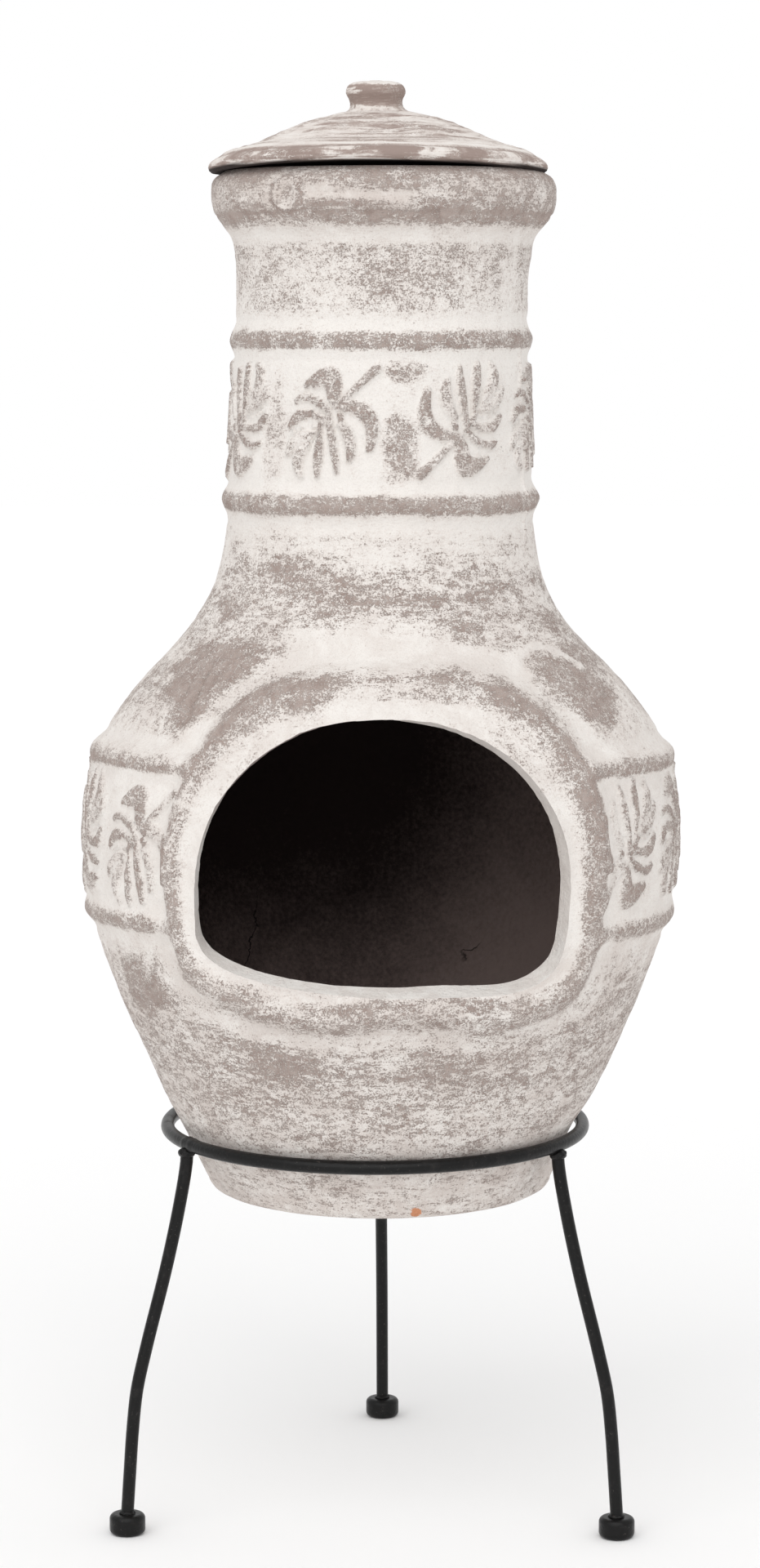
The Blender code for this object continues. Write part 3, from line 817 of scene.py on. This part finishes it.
def cut_mouth(pot, cut_material):
    """Cuts the mouth with a rough, knife-cut edge that flares outwards."""
    angle = (np.arange(MOUTH_STEPS) + 0.5) * 2 * math.pi / MOUTH_STEPS
    up = np.sin(angle)
    power = np.where(up >= 0, ARCH_POWER, SILL_POWER)
    wide = np.sign(np.cos(angle)) * np.abs(np.cos(angle)) ** (2 / power)
    tall = np.sign(up) * np.abs(up) ** (2 / power)
    reach = mouth_reach(MOUTH_HALF_WIDTH * wide, up)
    rows = []
    for depth in MOUTH_CUTS:
        grow = curve(MOUTH_FLARE, np.degrees(wrapped(angle))) * (-depth - MOUTH_INNER_DEPTH)
        x = MOUTH_SHIFT + (MOUTH_HALF_WIDTH + grow) * wide
        z = MOUTH_HEIGHT + (reach + grow) * tall
        ring = np.stack([x, np.full(MOUTH_STEPS, depth), z], axis=-1)
        rough = 0.0009 * soft_noise(ring, 0.045, 41) + 0.0003 * soft_noise(ring, 0.011, 42)
        rough += 0.0006 * np.maximum(soft_noise(ring, 0.004, 43), -0.1)
        out = ring - np.array((MOUTH_SHIFT, depth, MOUTH_HEIGHT))
        out /= np.linalg.norm(out, axis=1, keepdims=True)
        rows.append(ring + rough[:, None] * out)
    cutter = mesh_object("mouth_cutter", rows, capped_grid(len(rows), MOUTH_STEPS), (cut_material,))
    finish_mesh(cutter)
    modifier = pot.modifiers.new("Mouth", "BOOLEAN")
    modifier.operation = "DIFFERENCE"
    modifier.solver = "EXACT"
    modifier.object = cutter
    modifier.material_mode = "TRANSFER"
    depsgraph = bpy.context.evaluated_depsgraph_get()
    cut = bpy.data.meshes.new_from_object(pot.evaluated_get(depsgraph))
    pot.modifiers.clear()
    pot.data = cut
    bpy.data.objects.remove(cutter)


def paint_wear(pot, wear, above):
    """Looks up each point's wear by its height and azimuth, which also covers points that the cut made."""
    x, y, z = vertex_places(pot).T
    azimuth = np.arctan2(x - curve(LEAN, z - BASE), -y) % (2 * math.pi)
    column = azimuth / (2 * math.pi) * COLUMNS
    row = np.interp(z - BASE, above, np.arange(len(above)))
    low_row = np.clip(row.astype(int), 0, len(above) - 2)
    low_column = column.astype(int) % COLUMNS
    next_column = (low_column + 1) % COLUMNS
    r = row - low_row
    c = column - np.floor(column)
    lower, upper = ((1 - c) * wear[rank, low_column] + c * wear[rank, next_column]
                    for rank in (low_row, low_row + 1))
    store(pot, "wear", (1 - r) * lower + r * upper)
    for name, table in POT_FINISH:
        store(pot, name, curve(table, z - BASE))
    turn = np.arctan2(z - MOUTH_HEIGHT, x - MOUTH_SHIFT)
    store(pot, "roll_out", np.where(y < 0, mouth_distance(x, z), 1.0))
    store(pot, "roll_across", ROLL_STROKE * np.cos(turn))
    store(pot, "roll_up", ROLL_STROKE * np.sin(turn))


# ---------------------------------------------------------------- lid
def lid_profile():
    """(radius, height) from the hollow's middle, round the lip and edge, to the knob's top."""
    hollow = [(radius, LID_BEARING + up) for radius, up in LID_HOLLOW]
    lip = [(radius, LID_LOW.z + up) for radius, up in LID_LIP]
    edge = [(radius, LID_BEARING + up) for radius, up in LID_EDGE]
    slope_radii = np.linspace(LID_SLOPE[-1][0], LID_SLOPE[0][0], 60)
    slope = [(radius, LID_HIGH.z - float(curve(LID_SLOPE, radius))) for radius in slope_radii]
    knob = [(radius, LID_HIGH.z - down) for radius, down in LID_KNOB]
    return hollow + lip + edge + slope + knob


def refined(profile, step):
    """Adds points along a profile so that no stretch is longer than step."""
    result = [profile[0]]
    for (r0, z0), (r1, z1) in zip(profile, profile[1:]):
        parts = max(1, int(math.hypot(r1 - r0, z1 - z0) / step))
        for part in range(1, parts + 1):
            t = part / parts
            result.append((r0 + t * (r1 - r0), z0 + t * (z1 - z0)))
    return result


def front_rise(azimuth, radius):
    """How far the lid's edge stands up at the front, where it rocks off the uneven rim."""
    return LID_FRONT_RISE * smooth_step(0.07, 0.096, radius) * np.clip(np.cos(azimuth + 0.15), 0, 1) ** 2


def lid_shape(rows):
    """Hand-turned unevenness: fine grooves, a knob off centre, and an edge that droops at the sides."""
    radius = np.hypot(rows[..., 0], rows[..., 1])
    azimuth = np.arctan2(rows[..., 0], -rows[..., 1])
    above = smooth_step(CREST + 0.004, CREST + 0.01, rows[..., 2])
    grooves = 0.00035 * soft_noise(np.stack([radius, radius * 0, azimuth * 0.004], axis=-1), 0.0035, 51)
    lumps = 0.0006 * soft_noise(rows, 0.03, 52) + 0.0002 * soft_noise(rows, 0.008, 53)
    rows = rows.copy()
    outer = smooth_step(0.098, 0.108, radius)
    rows[..., 2] += (grooves + lumps) * above * (radius < 0.1065) * (radius > 0.005)
    rows[..., 2] -= LID_SIDE_DROOP * outer * np.sin(azimuth) ** 2
    rows[..., 2] += front_rise(azimuth, radius)
    knob = smooth_step(LID_HIGH.z - 0.024, LID_HIGH.z - 0.012, rows[..., 2])
    rows[..., 0] -= KNOB_SHIFT * knob
    swell = 1 + 0.012 * soft_noise(rows, 0.02, 54) * knob + 0.0025 * soft_noise(rows, 0.03, 55)
    lip = rows[..., 2] < CREST - 0.0005
    swell = np.where(lip | (radius < 0.012), 1.0, swell)
    rows[..., 0] *= swell
    rows[..., 1] *= swell
    return rows


def build_lid(material):
    """The lid: its shape, the attributes that say where its wash is worn, and where shade is painted under
    its edge.
    """
    lid = turned("lid_looks", refined(lid_profile(), 0.0016), LID_COLUMNS, lid_shape, material)
    finish_mesh(lid, 60)
    x, y, z = vertex_places(lid).T
    radius = np.hypot(x, y)
    edge = smooth_step(0.1015, 0.1045, radius)
    wear = 0.36 + 0.22 * edge + 0.4 * bump(radius - 0.1022, 0.0018) - 0.26 * bump(radius - 0.0975, 0.003)
    wear -= 0.16 * bump(radius - 0.027, 0.01)
    wear = wear + 0.12 * bump(x + 0.006, 0.05) * (y < -0.02) * (1 - edge)
    knob_side = (radius < 0.02) & (z > LID_HIGH.z - 0.017)
    knob_top = z > LID_HIGH.z - 0.003
    store(lid, "wear", np.where(knob_top, 0.25, np.where(knob_side, 0.95, wear)))
    store(lid, "edge", edge)
    # Where shade is painted: the underside below the bearing, which rises with the edge at the front.
    raised = front_rise(np.arctan2(x, -y), radius)
    store(lid, "under", 1 - smooth_step(CREST + 0.0006, CREST + 0.0014, z - raised))
    place(lid, "lid", "lid_clay", "lid")


# ---------------------------------------------------------------- stand
def leg_angle(name):
    """Which way a leg stands out from the middle, as its foot does in the CAD."""
    low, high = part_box("foot_" + name)
    return math.atan2(low.y + high.y, low.x + high.x)


def around(angle, distance, height):
    """A point of the stand, which is shifted a little from the pot's axis."""
    return np.array((distance * math.cos(angle) + STAND_SHIFT, distance * math.sin(angle), height))


def build_ring(material):
    """The hoop, with a notch and a swelling where its ends are welded together."""
    angle = np.arange(RING_STEPS) * 2 * math.pi / RING_STEPS
    centres = np.array([around(a, RING_RADIUS, RING_HEIGHT) for a in angle])
    joint = wrapped(angle - leg_angle("front_left") - 0.03) * RING_RADIUS
    radii = RING_BAR + 0.0007 * bump(np.abs(joint) - 0.003, 0.0035) - 0.0006 * bump(joint, 0.0012)
    ring = swept_bar("ring_looks", centres, radii, (0, 0, 1), RING_COLUMNS, True, material)
    finish_mesh(ring)
    place(ring, "stand", "black_paint", "support_ring")


def build_leg(name, angle, material):
    """One leg, along its bent route."""
    samples = np.linspace(LEG_ROUTE[0][1], LEG_ROUTE[-1][1], LEG_STEPS)
    distances = curve([(height, distance) for distance, height in LEG_ROUTE], samples)
    centres = np.array([around(angle, d, h) for d, h in zip(distances, samples)])
    side = np.array((-math.sin(angle), math.cos(angle), 0.0))
    leg = swept_bar("leg_" + name + "_looks", centres, LEG_BAR, side, LEG_COLUMNS, False, material)
    finish_mesh(leg)
    place(leg, "stand", "black_paint", "leg_" + name)


def build_foot(name, material):
    """A round puck with rounded edges, as wide and tall as the CAD's."""
    low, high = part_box("foot_" + name)
    middle = 0.5 * (high.x - low.x) - FOOT_CORNER
    height = high.z - low.z
    turns = [math.radians(15 * step) for step in range(7)]
    corner = [(middle + FOOT_CORNER * math.sin(t), FOOT_CORNER * (1 - math.cos(t))) for t in turns]
    upper = [(radius, height - up) for radius, up in reversed(corner)]
    profile = [(0.0, 0.0), *corner, *upper, (0.0, height)]
    foot = turned("foot_" + name + "_looks", refined(profile, 0.0015), FOOT_COLUMNS, None, material)
    centre = 0.5 * (low + high)
    shift = Vector((centre.x + STAND_SHIFT, centre.y, low.z))
    for vertex in foot.data.vertices:
        vertex.co += shift
    finish_mesh(foot)
    place(foot, "stand", "black_paint", "foot_" + name)


def weld_bead(node, centre, radii, seed, material):
    """A lumpy bead of weld, wrapped round the bar where it meets the next piece."""
    shape = bmesh.new()
    bmesh.ops.create_icosphere(shape, subdivisions=4, radius=1.0)
    co = np.array([vertex.co for vertex in shape.verts])
    lump = 0.88 + 0.1 * soft_noise(co, 0.55, seed) + 0.05 * soft_noise(co, 0.22, seed + 1)
    for vertex, point, swell in zip(shape.verts, co, lump):
        vertex.co = Vector(centre) + Vector(point * np.array(radii) * swell)
    bead = edited_object(node + "_looks", shape, material)
    finish_mesh(bead, 180)
    place(bead, "stand", "black_paint", node)


def build_stand(material):
    """The ring, then each leg with its foot and its two welds."""
    build_ring(material)
    for seed, name in enumerate(LEG_PLACES):
        angle = leg_angle(name)
        build_leg(name, angle, material)
        build_foot(name, material)
        top = around(angle, LEG_ROUTE[-1][0], RING_HEIGHT - RING_BAR - 0.0012)
        weld_bead("ring_weld_" + name, top, RING_WELD, 60 + seed, material)
        foot_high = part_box("foot_" + name)[1].z
        bottom = around(angle, LEG_ROUTE[0][0], foot_high + 0.0004)
        weld_bead("foot_weld_" + name, bottom, FOOT_WELD, 70 + seed, material)


# ---------------------------------------------------------------- materials
class Nodes:
    """Short calls for building a material's nodes."""

    def __init__(self, name):
        self.material = bpy.data.materials.new(name)
        self.material.use_nodes = True
        self.tree = self.material.node_tree
        self.tree.nodes.clear()
        self.shader = self.add("ShaderNodeBsdfPrincipled")
        self.add("ShaderNodeOutputMaterial", {"Surface": self.shader.outputs[0]})

    def feed(self, node, inputs):
        """Sets a node's inputs, each given as a value or as another node's output."""
        for key, value in inputs.items():
            if isinstance(value, bpy.types.NodeSocket):
                self.tree.links.new(value, node.inputs[key])
            else:
                node.inputs[key].default_value = value

    def add(self, kind, inputs=None, **settings):
        """A new node with its settings and its inputs."""
        node = self.tree.nodes.new(kind)
        for key, value in settings.items():
            setattr(node, key, value)
        self.feed(node, inputs or {})
        return node

    def attribute(self, name):
        """One of the numbers stored on the mesh's points."""
        return self.add("ShaderNodeAttribute", attribute_name=name).outputs["Fac"]

    def place(self, stretch=(1, 1, 1), turn=(0, 0, 0)):
        """Where a point is on the object, in metres, stretched for grain that runs one way."""
        where = self.add("ShaderNodeTexCoord").outputs["Object"]
        inputs = {"Vector": where, "Scale": stretch, "Rotation": turn}
        return self.add("ShaderNodeMapping", inputs).outputs[0]

    def noise(self, vector, scale, detail=4.0, roughness=0.6, distortion=0.0):
        """Noise about 0.5; scale is how many lumps there are to the metre."""
        inputs = {"Vector": vector, "Scale": scale, "Detail": detail, "Roughness": roughness,
                  "Distortion": distortion}
        return self.add("ShaderNodeTexNoise", inputs).outputs["Fac"]

    def axis(self, vector, name):
        """The X, Y or Z of a vector."""
        return self.add("ShaderNodeSeparateXYZ", {0: vector}).outputs[name]

    def vector(self, x, y, z):
        """A vector made of three numbers."""
        return self.add("ShaderNodeCombineXYZ", {0: x, 1: y, 2: z}).outputs[0]

    def math(self, operation, first, second=0.0, third=0.0):
        """One arithmetic step."""
        return self.add("ShaderNodeMath", {0: first, 1: second, 2: third}, operation=operation).outputs[0]

    def total(self, first, *others):
        """The sum of its values, added in order."""
        for other in others:
            first = self.math("ADD", first, other)
        return first

    def product(self, first, second):
        """Two values multiplied."""
        return self.math("MULTIPLY", first, second)

    def lifted(self, value, scale, start):
        """value times scale, plus start."""
        return self.math("MULTIPLY_ADD", value, scale, start)

    def spread(self, value, amount):
        """value, which lies about 0.5, as an amount either side of 0."""
        return self.lifted(value, amount, -0.5 * amount)

    def step(self, value, low, high):
        """A smooth rise from 0 at low to 1 at high."""
        inputs = {"Value": value, "From Min": low, "From Max": high}
        return self.add("ShaderNodeMapRange", inputs, interpolation_type="SMOOTHSTEP").outputs[0]

    def span(self, value, from_range, to_range):
        """value carried from one range to another, and held at its ends."""
        inputs = {"Value": value, "From Min": from_range[0], "From Max": from_range[1],
                  "To Min": to_range[0], "To Max": to_range[1]}
        return self.add("ShaderNodeMapRange", inputs).outputs[0]

    def blend(self, factor, first, second):
        """From the first number to the second as factor goes from 0 to 1."""
        return self.add("ShaderNodeMix", {0: factor, 2: first, 3: second}, data_type="FLOAT").outputs[0]

    def mix(self, factor, first, second):
        """The same for two colours."""
        return self.add("ShaderNodeMix", {0: factor, 6: first, 7: second}, data_type="RGBA").outputs[2]

    def bump(self, height, distance, before=None):
        """Small relief, on top of the relief before it."""
        inputs = {"Height": height, "Distance": distance, "Strength": 1.0}
        if before is not None:
            inputs["Normal"] = before
        return self.add("ShaderNodeBump", inputs).outputs[0]

    def finish(self, color, roughness, normal, specular):
        """Ties the results to the shader and gives the material back."""
        self.feed(self.shader, {"Base Color": color, "Roughness": roughness, "Normal": normal,
                                "Specular IOR Level": specular})
        return self.material


WASH = (0.838, 0.803, 0.765, 1)
WASH_THIN = (0.7, 0.632, 0.588, 1)
WASH_DULL = (0.59, 0.515, 0.472, 1)
TAUPE = (0.44, 0.362, 0.327, 1)
TAUPE_DARK = (0.33, 0.257, 0.228, 1)
PIT = (0.16, 0.12, 0.1, 1)
# A chip of bare terracotta on the base's edge.
BASE_CHIP = (0.024, -0.112, BASE + 0.0035)
TERRACOTTA = (0.6, 0.27, 0.15, 1)
LID_SHADE = (0.03, 0.021, 0.019, 1)
SOOTED_CLAY_AND_PAINTED_LIGHT, SMOKE_BLACK_AND_SHADE, CRACK = (0.37, 0.285, 0.262, 1), (0.03, 0.021, 0.02, 1), (0.008, 0.006, 0.006, 1)
CUT_DARK, CUT_PALE = (0.7, 0.64, 0.598, 1), (0.78, 0.725, 0.68, 1)
CUT_SHADE, CUT_GRAIN = (0.4, 0.33, 0.31, 1), (0.3, 0.235, 0.2, 1)
PAINT, PAINT_DUST, PAINT_SPECK = (0.006, 0.0058, 0.0058, 1), (0.022, 0.02, 0.019, 1), (0.08, 0.07, 0.065, 1)
FLOOR_TONES = ((0.975, 0.975, 0.975, 1), (0.985, 0.985, 0.985, 1))
WHITE = (1.0, 1.0, 1.0, 1)


def rubbed_wash(n, total, grain, here, age):
    """The colour, roughness and relief of white wash: dull where age is high, and rubbed back to taupe clay
    where total is high."""
    fleck = n.math("ABSOLUTE", n.spread(n.noise(here, 230.0, 3.0, 0.62, 0.6), 1.0))
    fleck = n.math("SUBTRACT", 1.0, n.step(fleck, 0.006, 0.03))
    fleck = n.product(fleck, n.step(n.noise(here, 48.0, 3.0, 0.6), 0.44, 0.6))
    total = n.lifted(fleck, -0.42, total)
    bare = n.step(total, 0.33, 0.6)
    thin = n.step(total, -0.05, 0.4)
    deep = n.total(n.noise(here, 120.0, 6.0, 0.72), n.step(total, 0.75, 1.25))
    clay = n.mix(n.step(deep, 0.38, 0.66), TAUPE, TAUPE_DARK)
    wash = n.mix(n.product(thin, 0.75), WASH, WASH_THIN)
    dull = n.step(n.noise(here, 36.0, 7.0, 0.74, 0.4), 0.36, 0.62)
    wash = n.mix(n.product(age, n.lifted(dull, 0.62, 0.1)), wash, WASH_DULL)
    pits = n.step(n.noise(here, 210.0, 2.0, 0.5), 0.235, 0.19)
    color = n.mix(n.product(pits, 0.6), n.mix(bare, wash, clay), PIT)
    height = n.math("SUBTRACT", n.lifted(bare, -0.45, grain), pits)
    return color, n.lifted(bare, -0.1, 0.95), height


def limewash_pot():
    """The pot's finish: the wear attribute says how rubbed it is and carries painted shade in places, and
    streak where the strokes run level.
    """
    n = Nodes("limewashed_clay")
    wear, streak, age = n.attribute("wear"), n.attribute("streak"), n.attribute("age")
    lively = n.math("SUBTRACT", 1.0, n.attribute("calm"))
    here = n.place()
    level = n.place((1.0, 1.0, 3.4))
    slanted = n.place((1.0, 1.0, 7.0), (0.0, 0.62, 0.35))
    patches = n.noise(n.place((1.0, 1.0, 1.3)), 17.0, 6.0, 0.66, 0.5)
    level_patches = n.noise(level, 22.0, 7.0, 0.74, 0.2)
    strokes = n.noise(level, 100.0, 6.0, 0.74, 0.3)
    middle = n.noise(here, 72.0, 6.0, 0.74, 0.3)
    fine = n.noise(here, 420.0, 4.0, 0.74)
    finest = n.noise(here, 1000.0, 3.0, 0.7)
    scratch = n.noise(slanted, 150.0, 4.0, 0.65, 1.2)
    broad = n.blend(streak, patches, level_patches)
    grainy = n.blend(streak, middle, strokes)
    roll = [n.attribute("roll_" + name) for name in ("out", "across", "up")]
    round_strokes = n.noise(n.vector(*roll), 115.0, 6.0, 0.74, 0.3)
    grainy = n.blend(n.step(roll[0], 0.05, 0.034), grainy, round_strokes)
    chips = n.noise(n.place((1.0, 1.0, 1.6)), 175.0, 3.0, 0.55, 0.9)
    total = n.total(
        wear,
        n.product(n.spread(broad, 1.0), n.attribute("patchy")),
        n.product(n.spread(grainy, 1.0), n.lifted(streak, 0.85, 0.8)),
        n.spread(scratch, 0.8),
        n.product(n.spread(chips, 1.1), lively),
    )
    total = n.span(total, (0.02, 0.84), (-0.02, 0.64))
    specks = n.total(n.spread(fine, 0.85), n.spread(finest, 2.0))
    total = n.total(total, n.product(specks, lively))
    color, roughness, height = rubbed_wash(n, total, fine, here, age)
    chip = n.add("ShaderNodeVectorMath", {0: here, 1: BASE_CHIP}, operation="DISTANCE").outputs["Value"]
    chip = n.lifted(n.spread(middle, 1.0), 0.01, chip)
    color = n.mix(n.step(chip, 0.004, 0.003), color, TERRACOTTA)
    normal = n.bump(height, 0.0007)
    normal = n.bump(n.noise(here, 140.0, 5.0, 0.65), 0.0011, normal)
    return n.finish(color, roughness, normal, 0.25)


def limewash_lid():
    """The lid's finish: wash wiped on while it turned, so its streaks run round, dabs on its edge, and
    painted shade under it.
    """
    n = Nodes("limewashed_lid")
    here = n.place()
    x, y, z = (n.axis(here, name) for name in "XYZ")
    radius = n.math("SQRT", n.total(n.product(x, x), n.product(y, y)))
    safe = n.total(radius, 0.002)
    depth = n.total(radius, n.product(z, 1.4))

    def round_place(length):
        """A place whose noise is drawn out round the lid, by length for each radian."""
        side = n.product(n.math("DIVIDE", x, safe), length)
        front = n.product(n.math("DIVIDE", y, safe), length)
        return n.vector(depth, side, front)

    streaks = n.noise(round_place(0.006), 230.0, 5.0, 0.72, 0.15)
    thin_streaks = n.noise(round_place(0.003), 700.0, 4.0, 0.66, 0.1)
    dabs = n.noise(round_place(0.03), 140.0, 4.0, 0.6, 0.5)
    patches = n.noise(here, 26.0, 6.0, 0.68, 0.6)
    fine = n.noise(here, 420.0, 4.0, 0.72)
    finest = n.noise(here, 1000.0, 3.0, 0.68)
    total = n.total(
        n.attribute("wear"),
        n.spread(streaks, 1.7),
        n.spread(thin_streaks, 1.2),
        n.spread(patches, 0.6),
        n.spread(fine, 0.35),
        n.spread(finest, 0.5),
        n.product(n.attribute("edge"), n.spread(dabs, 3.6)),
    )
    color, roughness, height = rubbed_wash(n, total, fine, here, 0.5)
    # Painted shade: the underside by the rim goes near black, for the shadow in the gap between lid and rim.
    color = n.mix(n.attribute("under"), color, LID_SHADE)
    normal = n.bump(height, 0.0004)
    normal = n.bump(thin_streaks, 0.0005, normal)
    return n.finish(color, roughness, normal, 0.25)


def soot():
    """The inside: brown-grey clay under smoke black, darkest at the top, with painted shade on the left and
    painted light on the right, and a few cracks.
    """
    n = Nodes("sooted_clay")
    here = n.place()
    high = n.axis(here, "Z")
    blotch = n.spread(n.noise(here, 22.0, 6.0, 0.65, 0.5), 0.5)
    speck = n.spread(n.noise(here, 330.0, 4.0, 0.7), 0.8)
    dark = n.total(n.step(high, BASE + 0.04, BASE + 0.27), n.total(blotch, speck))
    # Painted light and shade: lighter on the right, where light falls in through the mouth, and darker on
    # the left.
    dark = n.lifted(n.step(n.axis(here, "X"), -0.02, 0.14), -0.86, dark)
    color = n.mix(n.step(dark, -0.45, 0.85), SOOTED_CLAY_AND_PAINTED_LIGHT, SMOKE_BLACK_AND_SHADE)
    ragged = n.add("ShaderNodeTexNoise", {"Vector": here, "Scale": 60.0, "Detail": 5.0}).outputs["Color"]
    ragged = n.add("ShaderNodeVectorMath", {0: ragged, "Scale": 0.03}, operation="SCALE").outputs[0]
    ragged = n.add("ShaderNodeVectorMath", {0: n.place((1, 1, 1.6)), 1: ragged}, operation="ADD").outputs[0]
    crack = n.add("ShaderNodeTexVoronoi", {"Vector": ragged, "Scale": 9.0},
                  feature="DISTANCE_TO_EDGE").outputs["Distance"]
    line = n.product(n.step(crack, 0.007, 0.002), n.step(n.noise(here, 14.0, 2.0), 0.5, 0.58))
    line = n.product(line, n.step(high, BASE + 0.2, BASE + 0.15))
    color = n.mix(line, color, CRACK)
    normal = n.bump(n.noise(here, 260.0, 4.0, 0.65), 0.0008)
    return n.finish(color, 0.96, normal, 0.15)


def cut_clay():
    """The knife-cut edge of the mouth: grainy beige-grey clay, washed at the foot and on the left, with
    painted shade on the arch's underside at the top-left.
    """
    n = Nodes("cut_clay")
    here = n.place()
    grain = n.noise(here, 480.0, 4.0, 0.7)
    blotch = n.noise(here, 60.0, 5.0, 0.65)
    color = n.mix(n.step(blotch, 0.36, 0.62), CUT_DARK, CUT_PALE)
    high = n.axis(here, "Z")
    sideways = n.axis(here, "X")
    low_edge = n.step(high, MOUTH_HEIGHT - 0.005, MOUTH_HEIGHT - 0.035)
    washed = n.math("MAXIMUM", low_edge, n.step(sideways, 0.03, -0.06))
    washed = n.product(washed, n.lifted(n.step(blotch, 0.42, 0.58), 0.55, 0.35))
    color = n.mix(washed, color, WASH)
    # Painted shade on the downward-facing cut at the top of the arch, on the left.
    top_edge = n.step(high, MOUTH_HEIGHT + 0.02, MOUTH_HEIGHT + 0.08)
    color = n.mix(n.product(top_edge, n.step(sideways, 0.03, -0.03)), color, CUT_SHADE)
    color = n.mix(n.product(n.step(grain, 0.6, 0.74), 0.6), color, CUT_GRAIN)
    normal = n.bump(n.total(grain, n.noise(here, 150.0, 3.0)), 0.001)
    return n.finish(color, 0.95, normal, 0.2)


def black_paint():
    """Satin black paint with a faint orange peel and rubbed, dusty spots."""
    n = Nodes("black_paint")
    here = n.place()
    dust = n.step(n.noise(here, 90.0, 6.0, 0.7), 0.52, 0.78)
    speck = n.step(n.noise(here, 700.0, 2.0, 0.5), 0.66, 0.74)
    color = n.mix(n.product(speck, 0.5), n.mix(dust, PAINT, PAINT_DUST), PAINT_SPECK)
    roughness = n.lifted(dust, 0.18, 0.29)
    normal = n.bump(n.noise(here, 420.0, 3.0, 0.5), 0.00022)
    return n.finish(color, roughness, normal, 0.21)


def floor_material():
    """A nearly white floor."""
    n = Nodes("pale_floor")
    tone = n.noise(n.place(), 3.0, 2.0, 0.5)
    color = n.mix(tone, *FLOOR_TONES)
    normal = n.bump(tone, 0.00001)
    return n.finish(color, 0.9, normal, 0.1)


# ---------------------------------------------------------------- studio
CAMERA_PLACE = (0.0, -2.532, 0.787)
CAMERA_DOWN = math.radians(6.86)
CAMERA_ROLL = math.radians(0.06)
SENSOR = 36.0
# The lens's focal length and sideways shift, as shares of the picture's longer side.
FOCAL_SHARE = 2.458854
LENS_SHIFT = 0.001198
AMBIENT = 0.8
SUN_STRENGTH = 1.15
SUN_SPREAD, SUN_TILT, SUN_TURN = math.radians(70), math.radians(48), math.radians(-12)
FLOOR_RADIUS = 14.0


def build_camera():
    """The photo's viewpoint, as worked out from the ring, the feet and the mouth."""
    data = bpy.data.cameras.new("camera")
    data.sensor_width = SENSOR
    data.lens = SENSOR * FOCAL_SHARE
    data.shift_x = LENS_SHIFT
    data.clip_start = 0.05
    camera = linked("camera", data)
    camera.location = CAMERA_PLACE
    camera.rotation_euler = (math.pi / 2 - CAMERA_DOWN, CAMERA_ROLL, 0.0)
    bpy.context.scene.camera = camera


def build_world():
    """Even light from all round, and a pure white backdrop where the camera sees past the floor."""
    world = bpy.data.worlds.new("studio")
    world.use_nodes = True
    nodes, links = world.node_tree.nodes, world.node_tree.links
    lighting = nodes["Background"]
    lighting.inputs["Color"].default_value = WHITE
    lighting.inputs["Strength"].default_value = AMBIENT
    backdrop = nodes.new("ShaderNodeBackground")
    backdrop.inputs["Color"].default_value = WHITE
    seen = nodes.new("ShaderNodeLightPath")
    either = nodes.new("ShaderNodeMixShader")
    links.new(seen.outputs["Is Camera Ray"], either.inputs[0])
    links.new(lighting.outputs[0], either.inputs[1])
    links.new(backdrop.outputs[0], either.inputs[2])
    links.new(either.outputs[0], nodes["World Output"].inputs["Surface"])
    bpy.context.scene.world = world
    bpy.context.scene.view_settings.view_transform = "Standard"


def build_sun():
    """A broad, soft light from the front, high up and a little to the left."""
    sun = bpy.data.lights.new("sun", "SUN")
    sun.energy = SUN_STRENGTH
    sun.angle = SUN_SPREAD
    lamp = linked("sun", sun)
    lamp.rotation_euler = (SUN_TILT, 0, SUN_TURN)


def build_floor():
    """A wide round floor, which is staging."""
    shape = bmesh.new()
    bmesh.ops.create_circle(shape, cap_ends=True, segments=96, radius=FLOOR_RADIUS)
    edited_object("floor", shape, floor_material())


def main():
    """Builds every piece, then the light, the floor and the camera."""
    build_pot(limewash_pot(), soot(), cut_clay())
    build_lid(limewash_lid())
    build_stand(black_paint())
    build_world()
    build_sun()
    build_floor()
    build_camera()


main()
